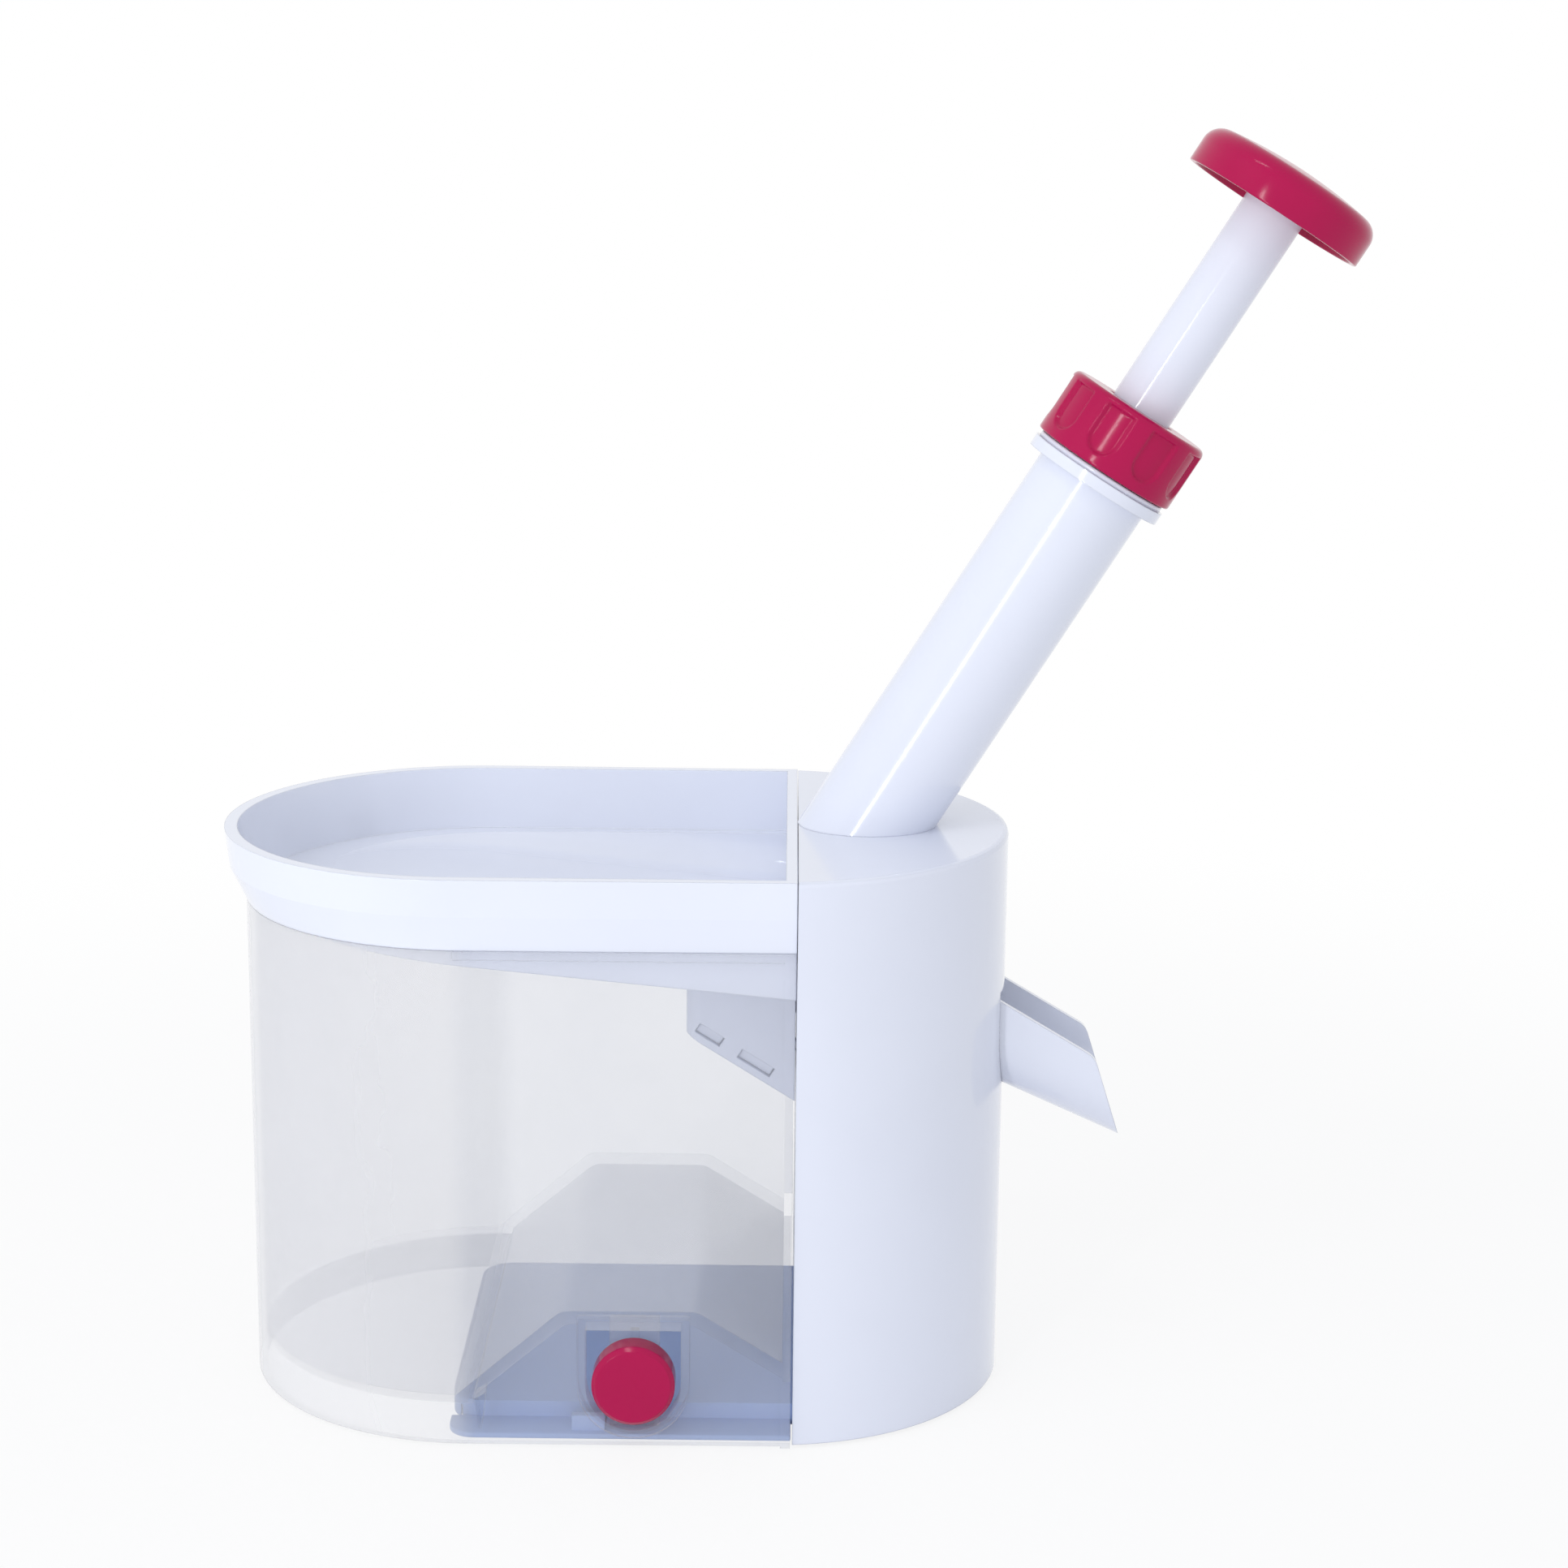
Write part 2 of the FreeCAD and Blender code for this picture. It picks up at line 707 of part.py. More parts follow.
for name, radius, start, end in (
        ("throat", size.throat_radius, throat_start, size.cup_end + 1.0),
        ("cup", size.cup_radius, size.cup_end, size.cup_start),
        ("gasketSeat", size.gasket_radius + 0.2, size.gasket_start - size.gasket_thickness,
         size.gasket_start)):
    cut_cylinder(shell_body, name, radius, end - start, axis_x(start), 0, axis_z(start), size.plunger_tilt)
frame_top = size.gasket_start - size.gasket_thickness
frame_space = new_sketch(shell_body, "frameSpace", "XZ_Plane")
polygon(frame_space, [
    side_point(-size.frame_left, frame_top),
    side_point(size.frame_right, frame_top),
    side_point(size.frame_right, throat_start),
    side_point(-size.frame_left, throat_start)])
pocket(shell_body, frame_space, size.frame_half_depth * 2.0, both=True)
slots = ((-size.frame_left, -size.slot_inner), (size.slot_inner, size.frame_right - 0.4))
slot_depth = size.seat_half_depth - size.frame_half_depth + 0.1
for side, face in (("front", size.seat_half_depth), ("rear", -size.seat_half_depth)):
    for number, (near, far) in enumerate(slots, start=1):
        slot = new_sketch(shell_body, "%sSlot%d" % (side, number), "XZ_Plane", face)
        polygon(slot, [
            side_point(near, size.slot_top), side_point(far, size.slot_top),
            side_point(far, size.slot_low), side_point(near, size.slot_low)])
        pocket(shell_body, slot, slot_depth, reverse=(side == "rear"))
seat_door = new_sketch(shell_body, "seatDoor", "YZ_Plane", tray_right + 1.0)
rectangle(seat_door, -size.window_half, window_low, size.window_half, window_high)
pocket(shell_body, seat_door, size.partition_wall + 1.5)
for number, side in enumerate(tie_holes, start=1):
    hole = new_sketch(shell_body, "trayTie%d" % number, "YZ_Plane", tray_right + 1.0)
    circle(hole, tie_side * side, tie_height, size.screw_radius)
    pocket(shell_body, hole, 9.0)

cavity = new_body("trayCavity")
cavity_right = tray_right - size.partition_wall
inner_bowl = new_sketch(cavity, "innerBowl", offset=floor_low - 8.0)
inner_half = bowl_radius - size.bowl_wall - size.container_draft
tray_outline(inner_bowl, bowl_left, bowl_radius - size.bowl_wall, cavity_right, inner_half)
pad(cavity, inner_bowl, size.deck_height - floor_low + 9.0)
floor_cut = new_sketch(cavity, "floorCut", "XZ_Plane")
polygon(floor_cut, slope_points(floor_low))
floor_face = pocket(cavity, floor_cut, across_all, both=True)


def on_floor(edge):
    """True for the side edges of the tray's floor."""
    if abs(edge.BoundBox.XMin - cavity_right.value) < 0.05:
        return False
    for vertex in edge.Vertexes:
        rise = (tray_right.value - vertex.X) * fall.value
        if abs(vertex.Z - floor_low.value - rise) > 0.05:
            return False
    return True


fillet(cavity, floor_face, on_floor, size.bowl_round)
crease = new_sketch(cavity, "crease", offset=size.deck_height - size.crease_drop)
crease_radius = rim_radius - size.rim_inset - 0.4
tray_outline(crease, bowl_left, crease_radius, cavity_right)
mouth = new_sketch(cavity, "mouth", offset=size.deck_height + 0.5)
tray_outline(mouth, -arc_centre, rim_radius - size.rim_inset, cavity_right)
loft(cavity, "AdditiveLoft", [crease, mouth])
tray = doc.addObject("Part::Cut", "hopper_tray")
tray.Label = "hopper_tray"
tray.Base = shell_body
tray.Tool = cavity
doc.recompute()

# barrel: the outer tube of the plunger, with flange, neck and three lugs
tube_body = on_axis("barrelTube")
revolve(tube_body, [
    (size.ledge_bore, -12.0),
    (barrel_radius, -12.0),
    (barrel_radius, size.flange_start),
    (flange_radius, size.flange_start),
    (flange_radius, size.flange_start + size.flange_thickness),
    (neck_radius, size.flange_start + size.flange_thickness),
    (neck_radius, size.neck_end),
    (size.barrel_bore, size.neck_end),
    (size.barrel_bore, guide_low),
    (size.ledge_bore, guide_low)], "tube")
deck_cut = new_sketch(tube_body, "deckCut", "XZ_Plane")
reach = 30.0
rise = reach * tangent(size.plunger_tilt)
polygon(deck_cut, [(-reach, -rise), (-reach, -reach * 1.5), (reach, -reach * 1.5), (reach, rise)])
pocket(tube_body, deck_cut, 60.0, both=True)
lug_low = size.neck_end - 0.6 - size.lug_height
lug = revolve(tube_body, [
    (neck_radius - 0.5, lug_low),
    (lug_radius, lug_low),
    (lug_radius, lug_low + size.lug_height),
    (neck_radius - 0.5, lug_low + size.lug_height)], "lug", 50.0)
polar(tube_body, lug, 3)
spigot = on_axis("barrelSpigot")
revolve(spigot, [
    (size.ledge_bore, -14.0),
    (size.spigot_radius, -14.0),
    (size.spigot_radius, 6.0),
    (size.ledge_bore, 6.0)], "spigotTube")
spigot_cut = new_sketch(spigot, "spigotCut", "XZ_Plane")
depth = size.deck_wall / cosine(size.plunger_tilt)
polygon(spigot_cut, [
    (-reach, -rise - depth), (-reach, -reach * 1.5), (reach, -reach * 1.5), (reach, rise - depth)])
pocket(spigot, spigot_cut, 60.0, both=True)
spigot_head = new_sketch(spigot, "spigotHead", "XZ_Plane")
polygon(spigot_head, [(-reach, -rise), (reach, rise), (reach, reach), (-reach, reach)])
pocket(spigot, spigot_head, 60.0, both=True)
barrel = doc.addObject("Part::Fuse", "barrel")
barrel.Label = "barrel"
barrel.Base = tube_body
barrel.Tool = spigot
barrel.Refine = True
doc.recompute()

# guide bush in the neck of the barrel
bush = on_axis("guide_bush")
bush_bore = size.tube_radius + size.running_clearance
revolve(bush, [
    (bush_bore, stop_top + 0.3),
    (size.barrel_bore - 0.1, stop_top + 0.3),
    (size.barrel_bore - 0.1, size.neck_end),
    (neck_radius, size.neck_end),
    (neck_radius, size.neck_end + size.bush_flange),
    (bush_bore + 2.2, size.neck_end + size.bush_flange),
    (bush_bore + 2.2, bush_end),
    (bush_bore, bush_end)], "bush")

# guide and stripper for the pin at the foot of the barrel
guide = on_axis("pin_guide")
pin_bore = size.pin_radius + size.running_clearance
revolve(guide, [
    (pin_bore, size.stripper_end),
    (size.guide_radius - 2.0, size.stripper_end),
    (size.guide_radius, size.stripper_end + 3.0),
    (size.guide_radius, guide_low),
    (size.barrel_bore - 0.2, guide_low),
    (size.barrel_bore - 0.2, guide_top),
    (pin_bore, guide_top)], "guide")

# collar nut: a quarter turn locks it over the lugs
collar = on_axis("collar_nut")
collar_top = size.collar_start + size.collar_height
lip_low = collar_top - size.collar_lip
revolve(collar, [
    (collar_inner, size.collar_start),
    (collar_radius - 0.5, size.collar_start),
    (collar_radius, size.collar_start + 0.5),
    (collar_radius, collar_top - size.collar_chamfer),
    (collar_radius - size.collar_chamfer, collar_top),
    (size.tube_radius + 0.8, collar_top),
    (size.tube_radius + 0.8, lip_low),
    (collar_inner, lip_low)], "collar")
key = revolve(collar, [
    (neck_radius + 0.3, size.collar_start + 0.2),
    (collar_inner + 0.5, size.collar_start + 0.2),
    (collar_inner + 0.5, lug_low - 0.2),
    (neck_radius + 0.3, lug_low - 0.2)], "key", 50.0)
polar(collar, key, 3)
grip = new_sketch(collar, "grip", "XZ_Plane", -collar_radius + size.grip_depth)
grip_half = size.grip_width / 2.0
u_outline(
    grip, 0, size.collar_start + size.grip_foot + grip_half, grip_half, collar_top + 1.0, "u")
grip_cut = pocket(collar, grip, 3.0, reverse=True)
polar(collar, grip_cut, size.grip_count)

# plunger: tube, knob, stop ring, pin carrier and pin
plunger = on_axis("plunger_tube")
revolve(plunger, [
    (size.tube_bore, tube_end),
    (size.tube_radius, tube_end),
    (size.tube_radius, tube_top),
    (size.tube_bore, tube_top)], "rod")
knob = on_axis("palm_knob")
knob_top = size.knob_start + size.knob_height
crown = size.knob_height - size.knob_side
dome_radius = (size.knob_radius * size.knob_radius + crown * crown) / (crown * 2.0)
knob_sketch = new_sketch(knob, "knobOutline", "XZ_Plane")
dome = Part.Circle(Vector(0, (knob_top - dome_radius).value, 0), Vector(0, 0, 1), dome_radius.value)
half_angle = math.asin(size.knob_radius.value / dome_radius.value)
knob_arc = knob_sketch.addGeometry(
    Part.ArcOfCircle(dome, math.pi / 2 - half_angle, math.pi / 2), False)
shoulder = size.knob_start + size.knob_side
corners = [
    (0, knob_top),
    (0, size.knob_start),
    (size.knob_radius, size.knob_start),
    (size.knob_radius, shoulder)]
knob_lines = []
for start, end in zip(corners[:-1], corners[1:]):
    knob_lines.append(knob_sketch.addGeometry(Part.LineSegment(numbers(start), numbers(end)), False))
knob_sketch.addConstraint(sketcher("Coincident", knob_arc, 2, knob_lines[0], 1))
knob_sketch.addConstraint(sketcher("Coincident", knob_lines[0], 2, knob_lines[1], 1))
knob_sketch.addConstraint(sketcher("Coincident", knob_lines[1], 2, knob_lines[2], 1))
knob_sketch.addConstraint(sketcher("Coincident", knob_lines[2], 2, knob_arc, 1))
fix_point(knob_sketch, knob_lines[0], 1, 0, knob_top, "top")
fix_point(knob_sketch, knob_lines[1], 1, 0, size.knob_start, "foot")
fix_point(knob_sketch, knob_lines[2], 1, size.knob_radius, size.knob_start, "edge")
fix_point(knob_sketch, knob_lines[2], 2, size.knob_radius, shoulder, "shoulder")
arc_radius(knob_sketch, knob_arc, dome_radius, "dome")
knob_turn = knob.newObject("PartDesign::Revolution", "knobTurn")
knob_turn.Profile = knob_sketch
knob_turn.ReferenceAxis = (knob_sketch, ["V_Axis"])
knob_turn.Angle = 360.0
finish_feature(knob, knob_turn, knob_sketch)
shoulder_round = fillet(
    knob, knob_turn, lambda e: level(e, shoulder.value) and e.BoundBox.XLength > 40.0, size.knob_round)
fillet(
    knob, shoulder_round,
    lambda e: level(e, size.knob_start.value) and e.BoundBox.XLength > 40.0, 1.4)
knob_hollow = new_sketch(knob, "knobHollow", offset=size.knob_start - 1.0)
circle(knob_hollow, 0, 0, size.knob_radius - size.knob_wall, "rim")
circle(knob_hollow, 0, 0, size.tube_radius + size.knob_wall, "hub")
pocket(knob, knob_hollow, size.knob_side - 1.0, reverse=True)
tube_socket = new_sketch(knob, "tubeSocket", offset=size.knob_start - 1.0)
circle(tube_socket, 0, 0, size.tube_radius)
pocket(knob, tube_socket, tube_top - size.knob_start + 1.0, reverse=True)
rib = new_sketch(knob, "rib", "XZ_Plane")
rectangle(
    rib, size.tube_radius + size.knob_wall - 0.5, size.knob_start + 1.5,
    size.knob_radius - size.knob_wall + 0.5, size.knob_start + size.knob_side - 1.5)
rib_pad = pad(knob, rib, 1.6, both=True)
polar(knob, rib_pad, 6)
stop_ring = on_axis("stop_ring")
revolve(stop_ring, [
    (size.tube_radius, stop_low),
    (size.barrel_bore - 0.2, stop_low),
    (size.barrel_bore - 0.2, stop_top),
    (size.tube_radius, stop_top)], "stop")
carrier = on_axis("pin_carrier")
revolve(carrier, [
    (size.pin_radius, carrier_low),
    (size.tube_radius - 0.3, carrier_low),
    (size.tube_radius - 0.3, tube_end),
    (size.tube_bore, tube_end),
    (size.tube_bore, tube_end + 16.0),
    (size.pin_radius, tube_end + 16.0)], "carrier")
pin = on_axis("pitting_pin")
revolve(pin, [
    (0, size.pin_tip),
    (size.pin_radius - 0.4, size.pin_tip),
    (size.pin_radius, size.pin_tip + 0.4),
    (size.pin_radius, tube_end + 14.0),
    (0, tube_end + 14.0)], "pin")
for name, role in (("crownX", "XZ_Plane"), ("crownY", "YZ_Plane")):
    crown_slot = new_sketch(pin, name, role)
    rectangle(crown_slot, -0.8, size.pin_tip - 1.0, 0.8, size.pin_tip + 3.0)
    pocket(pin, crown_slot, 8.0, both=True)

# seat gasket with its slit star, and the frame that clips it in
gasket = on_axis("seat_gasket")
gasket_low = size.gasket_start - size.gasket_thickness
revolve(gasket, [
    (size.gasket_hole, gasket_low + 1.0),
    (size.throat_radius - 1.0, gasket_low + 1.0),
    (size.throat_radius - 0.5, gasket_low),
    (size.gasket_radius, gasket_low),
    (size.gasket_radius, size.gasket_start),
    (size.gasket_hole, size.gasket_start - 0.8)], "gasket")
slit = new_sketch(gasket, "slit", offset=gasket_low)
rectangle(slit, 0, -size.slit_width / 2.0, size.throat_radius - 1.5, size.slit_width / 2.0)
slit_cut = pocket(gasket, slit, size.gasket_thickness, reverse=True)
polar(gasket, slit_cut, size.slit_count)
frame = on_axis("seat_frame")
frame_plan = new_sketch(frame, "framePlan", offset=size.slot_low)
frame_half = size.frame_half_depth - size.seat_fit
rectangle(
    frame_plan, -size.frame_left + size.seat_fit, -frame_half, size.frame_right - size.seat_fit, frame_half)
circle(frame_plan, 0, 0, size.pit_hole_radius, "pit")
pad(frame, frame_plan, gasket_low - size.slot_low)
for number, (near, far) in enumerate(slots, start=1):
    for side in (-1, 1):
        name = "%sTab%d" % ("front" if side < 0 else "rear", number)
        tab = new_sketch(frame, name, offset=size.slot_low + size.seat_fit)
        inner, outer = (frame_half - 0.5) * side, (size.frame_half_depth + 0.6) * side
        low, high = (outer, inner) if side < 0 else (inner, outer)
        rectangle(tab, near + size.seat_fit, low, far - size.seat_fit, high)
        pad(frame, tab, size.slot_top - size.slot_low - size.seat_fit * 2.0)

# chute: a U trough from the tower's inner wall out through its nose
chute = new_body("chute")
place(
    chute, "Placement", size.origin_shift + size.body_half_length, 0, chute_low_at_wall, chute_turn)
steep = cosine(size.chute_fall)
inner_run = (size.body_half_length - size.tower_left - size.tower_wall) / steep
outer_run = (size.chute_reach - size.body_half_length) / steep
trough = new_sketch(chute, "trough", offset=-inner_run - 8.0)
trough_outline(trough, size.chute_radius, -size.chute_radius, -size.chute_side)
pad(chute, trough, inner_run + outer_run + 8.0)
channel = new_sketch(chute, "channel", offset=-inner_run - 9.0)
trough_outline(channel, size.chute_radius - size.chute_wall, -size.chute_radius, -size.chute_side - 2.0)
pocket(chute, channel, inner_run + outer_run + 12.0, reverse=True)
start_cut = new_sketch(chute, "startCut", "XZ_Plane")
back = tangent(size.chute_fall)
polygon(start_cut, [
    (2.0, -inner_run + 2.0 * back),
    (-30.0, -inner_run - 30.0 * back),
    (-30.0, -inner_run - 30.0),
    (2.0, -inner_run - 30.0)])
pocket(chute, start_cut, 40.0, both=True)
lip_cut = new_sketch(chute, "lipCut", "XZ_Plane")
lean = tangent(size.chute_lip_lean)
side_fall = tangent(size.chute_top_fall - size.chute_fall)
polygon(lip_cut, [
    (1.0, outer_run - 1.4),
    (-0.8, outer_run),
    (-size.chute_side - 1.0, outer_run - (size.chute_side + 0.2) * lean),
    (-size.chute_side - 1.0, outer_run + 10.0),
    (1.0, outer_run + 10.0)])
pocket(chute, lip_cut, 40.0, both=True)
side_cut = new_sketch(chute, "sideCut", "XZ_Plane")
side_start = (size.chute_side - size.chute_side_at_wall) / side_fall
polygon(side_cut, [
    (-size.chute_side, -side_start),
    (-size.chute_side_at_wall + (outer_run + 5.0) * side_fall, outer_run + 5.0),
    (-size.chute_side - 8.0, outer_run + 5.0),
    (-size.chute_side - 8.0, -side_start)])
side_face = pocket(chute, side_cut, 40.0, both=True)


def at_lip_corner(edge):
    """True for the two short edges where a side of the chute meets its slanted end."""
    box = edge.BoundBox
    return box.YLength > 1.0 and box.YLength < 3.0 and abs(box.XLength) < 0.01 and box.ZMin > 10.0


fillet(chute, side_face, at_lip_corner, size.chute_corner)

# pit container: an open shell with its own arched floor
container = new_body("pit_container")
wall_plan = new_sketch(container, "wallPlan", offset=size.table_gap)
right_half = size.container_radius - size.container_draft
tray_outline(wall_plan, container_centre, size.container_radius, container_right, right_half)
pad(container, wall_plan, container_top - size.table_gap)
inner_plan = new_sketch(container, "innerPlan", offset=container_top + 1.0)
inner_radius = size.container_radius - size.container_wall
inner_right = container_right - size.container_wall
side_room = inner_radius - size.container_draft
tray_outline(inner_plan, container_centre, inner_radius, inner_right, side_room)
pocket(container, inner_plan, container_top + 2.0)
sill_cut = new_sketch(container, "sillCut", "YZ_Plane", container_right + 1.0)
rectangle(sill_cut, -side_room, size.deck_height - size.sill_drop, side_room, container_top + 1.0)
pocket(container, sill_cut, size.container_wall + 1.5)
foot_cut = new_sketch(container, "footCut", "YZ_Plane", container_right + 1.0)
rectangle(foot_cut, -side_room, 0, side_room, size.arch_right_foot)
pocket(container, foot_cut, size.container_wall + 1.5)
floor_plan = new_sketch(container, "floorPlan", offset=size.container_floor)
tray_outline(floor_plan, container_centre, size.container_radius - 1.0, size.arch_left + 2.0)
pad(container, floor_plan, size.container_wall, reverse=True)
floor_under = size.container_floor - size.container_wall
arch_shift = size.arch_wall * 0.62
arch = new_sketch(container, "arch", "XZ_Plane")
polygon(arch, [
    (size.arch_left, floor_under),
    (size.arch_crown_left, size.arch_crown),
    (size.arch_crown_right, size.arch_crown),
    (container_right - 0.5, size.arch_right_foot),
    (container_right - 0.5, size.arch_right_foot + size.arch_wall * 1.2),
    (size.arch_crown_right + 1.0, size.arch_crown + size.arch_wall),
    (size.arch_crown_left - 1.1, size.arch_crown + size.arch_wall),
    (size.arch_left - arch_shift, size.container_floor)])
arch_pad = pad(container, arch, (size.container_radius - 1.2) * 2.0, both=True)


def on_crown(edge):
    """True for the four long edges where the arch bends over its crown."""
    box = edge.BoundBox
    return box.YLength > 100.0 and box.XLength < 0.05 and box.ZMin > size.arch_crown.value - 0.1 \
        and box.ZMax < size.arch_crown.value + size.arch_wall.value + 0.1


fillet(container, arch_pad, on_crown, size.arch_round)
spike = new_sketch(container, "spike", "XZ_Plane", size.container_radius - 1.0)
spike_x = size.arch_left + 3.6
polygon(spike, [
    (spike_x - 1.3, floor_under + 1.0),
    (spike_x - 0.3, 4.0),
    (spike_x + 0.3, 4.0),
    (spike_x + 1.3, floor_under + 2.5)])
pad(container, spike, 7.0, reverse=True)
bead = new_sketch(container, "bead", "XZ_Plane", size.container_radius + size.bead_proud)
rectangle(bead, container_centre - 2.0, container_top - size.bead_height, container_right, container_top)
pad(container, bead, size.bead_proud + 1.0, reverse=True)
edge_bar = new_sketch(container, "edgeBar", "XZ_Plane", size.container_radius + size.bead_proud)
rectangle(edge_bar, container_right - 2.4, size.table_gap, container_right, container_top)
pad(container, edge_bar, size.bead_proud + 2.4, reverse=True)
window_face = size.container_radius + size.window_proud
window_frame = new_sketch(container, "windowFrame", "XZ_Plane", window_face)
frame_radius = size.window_radius + size.window_rim
u_outline(
    window_frame, size.button_centre, size.button_height, frame_radius,
    size.window_top + size.window_rim, "u")
pad(container, window_frame, size.window_sleeve, reverse=True)
window_open = new_sketch(container, "windowOpen", "XZ_Plane", window_face + 1.0)
u_outline(
    window_open, size.button_centre, size.button_height, size.window_radius, size.arch_crown - 0.4, "u")
pocket(container, window_open, size.window_sleeve + 2.0)

# latch: a tongue that hangs behind the window and carries the button
tongue = new_body("latch_tongue")
tongue_top = size.arch_crown - size.latch_gap
tongue_face = new_sketch(tongue, "tongueFace", "XZ_Plane", tongue_front)
rectangle(
    tongue_face, size.button_centre - size.tongue_half, size.tongue_end,
    size.button_centre + size.tongue_half, tongue_top)
pad(tongue, tongue_face, size.tongue_thickness, reverse=True)
stiffener = new_sketch(tongue, "stiffener", "XZ_Plane", tongue_front - size.tongue_thickness + 0.1)
rectangle(
    stiffener, size.button_centre - 1.0, size.tongue_end + 5.0, size.button_centre + 1.0, tongue_top - 4.0)
pad(tongue, stiffener, 2.0, reverse=True)
button = new_body("release_button")
place(
    button, "Placement", size.origin_shift + size.button_centre, 0, size.button_height,
    quarter_turn, (1, 0, 0))
button_face = size.container_radius + size.button_proud
button_back = button_face - size.button_depth
revolve(button, [
    (0, tongue_front),
    (size.stem_radius, tongue_front),
    (size.stem_radius, button_face - size.button_wall),
    (size.button_radius - size.button_wall, button_face - size.button_wall),
    (size.button_radius - size.button_wall, button_back),
    (size.button_radius, button_back),
    (size.button_radius, button_face - 1.0),
    (size.button_radius - 1.0, button_face),
    (0, button_face)], "cap")

# base plate: it reaches under the container and closes the tower
base = new_body("base_plate")
plate = new_sketch(base, "plate", offset=size.table_gap)
rectangle(plate, size.base_left, -base_half_depth, size.tower_left + 10.0, base_half_depth)
plate_pad = pad(base, plate, size.base_height - size.table_gap)
fillet(base, plate_pad, lambda e: upright(e, size.base_left.value), size.base_corner)
tower_plate = new_sketch(base, "towerPlate", offset=size.table_gap)
plate_radius = tower_foot_radius - size.tower_wall - 0.3
tower_outline(tower_plate, foot_centre, plate_radius, size.tower_left + size.tower_wall + 0.3)
pad(base, tower_plate, size.tower_floor)
recess = new_sketch(base, "recess")
rectangle(
    recess, size.base_left + size.base_wall, -base_half_depth + size.base_wall,
    size.tower_left - size.base_wall, base_half_depth - size.base_wall)
pocket(base, recess, size.base_height - size.base_wall, reverse=True)
foot_places = []
for x in (size.base_left + 13.0, foot_centre + 28.0):
    for side in (-1, 1):
        foot_places.append((x, (base_half_depth - 13.0) * side))
for number, (x, y) in enumerate(foot_places, start=1):
    post = size.base_height - size.table_gap - 0.5 if number < 3 else size.tower_floor
    add_cylinder(base, "footPost%d" % number, size.foot_radius + 2.0, post, x, y, size.table_gap)
    cut_cylinder(
        base, "footSeat%d" % number, size.foot_radius + 0.1, size.foot_recess + size.table_gap, x, y, 0)
for number, (x, y) in enumerate(boss_places, start=1):
    cut_cylinder(base, "screwHole%d" % number, size.screw_radius + 0.2, 8.0, x, y, 0)
    cut_cylinder(base, "screwHead%d" % number, 3.3, size.table_gap + 1.4, x, y, 0)
post_front = tongue_front + size.latch_gap
arm = new_sketch(base, "arm", offset=size.table_gap)
arm_left = size.button_centre - size.tongue_half - 9.0
rectangle(arm, arm_left, -post_front - 2.0, arm_left + 8.0, -base_half_depth + 1.0)
pad(base, arm, 1.4)
catch = new_sketch(base, "catch", offset=size.table_gap)
rectangle(catch, arm_left, -post_front - 2.0, arm_left + 8.0, -post_front)
pad(base, catch, size.base_height - size.table_gap - 0.2)

# screws: three from below, two between the tower and the tray
screws = new_body("base_screws")
for number, (x, y) in enumerate(boss_places, start=1):
    add_cylinder(screws, "head%d" % number, 3.0, 1.2, x, y, size.table_gap + 0.2)
    add_cylinder(
        screws, "shank%d" % number, size.screw_radius, size.tower_floor + 9.0, x, y, size.table_gap + 1.0)
ties = new_body("tray_screws")
for number, side in enumerate(tie_holes, start=1):
    start = size.tower_left + size.tower_wall
    shank = new_sketch(ties, "shank%d" % number, "YZ_Plane", start + 0.5)
    circle(shank, tie_side * side, tie_height, size.screw_radius)
    pad(ties, shank, size.tower_wall + 6.0, reverse=True)
    head = new_sketch(ties, "head%d" % number, "YZ_Plane", start)
    circle(head, tie_side * side, tie_height, 2.6)
    pad(ties, head, 1.8)

# four rubber feet
feet = []
for number, (x, y) in enumerate(foot_places, start=1):
    foot = new_body("rubber_foot_%d" % number)
    place(foot, "Placement", size.origin_shift + x, y, 0)
    revolve(foot, [
        (0, 0.4),
        (2.5, 0.4),
        (3.0, 0),
        (size.foot_radius - 0.5, 0),
        (size.foot_radius, 0.5),
        (size.foot_radius, size.table_gap + size.foot_recess),
        (0, size.table_gap + size.foot_recess)], "pad")
    feet.append(foot)


def biarc(start, start_way, end, end_way):
    """Two arcs that leave one point and reach another, each along a given way."""
    chord = end - start
    both = start_way + end_way
    open_angle = 1.0 - start_way.dot(end_way)
    along = chord.dot(both)
    spread = math.sqrt(along * along + 2.0 * open_angle * chord.dot(chord))
    reach_out = (spread - along) / (2.0 * open_angle)
    middle = (start + end + (start_way - end_way) * reach_out) * 0.5
    arcs = []
    for near, way, far in ((start, start_way, middle), (end, -end_way, middle)):
        line = far - near
        unit = Vector(line).normalize()
        side = way - unit * way.dot(unit)
        turn = math.atan2(side.Length, way.dot(unit))
        bulge = (near + far) * 0.5 + Vector(side).normalize() * (line.Length / 2.0 * math.tan(turn / 2.0))
        arcs.append(Part.Arc(near, bulge, far) if near is start else Part.Arc(far, bulge, near))
    return arcs


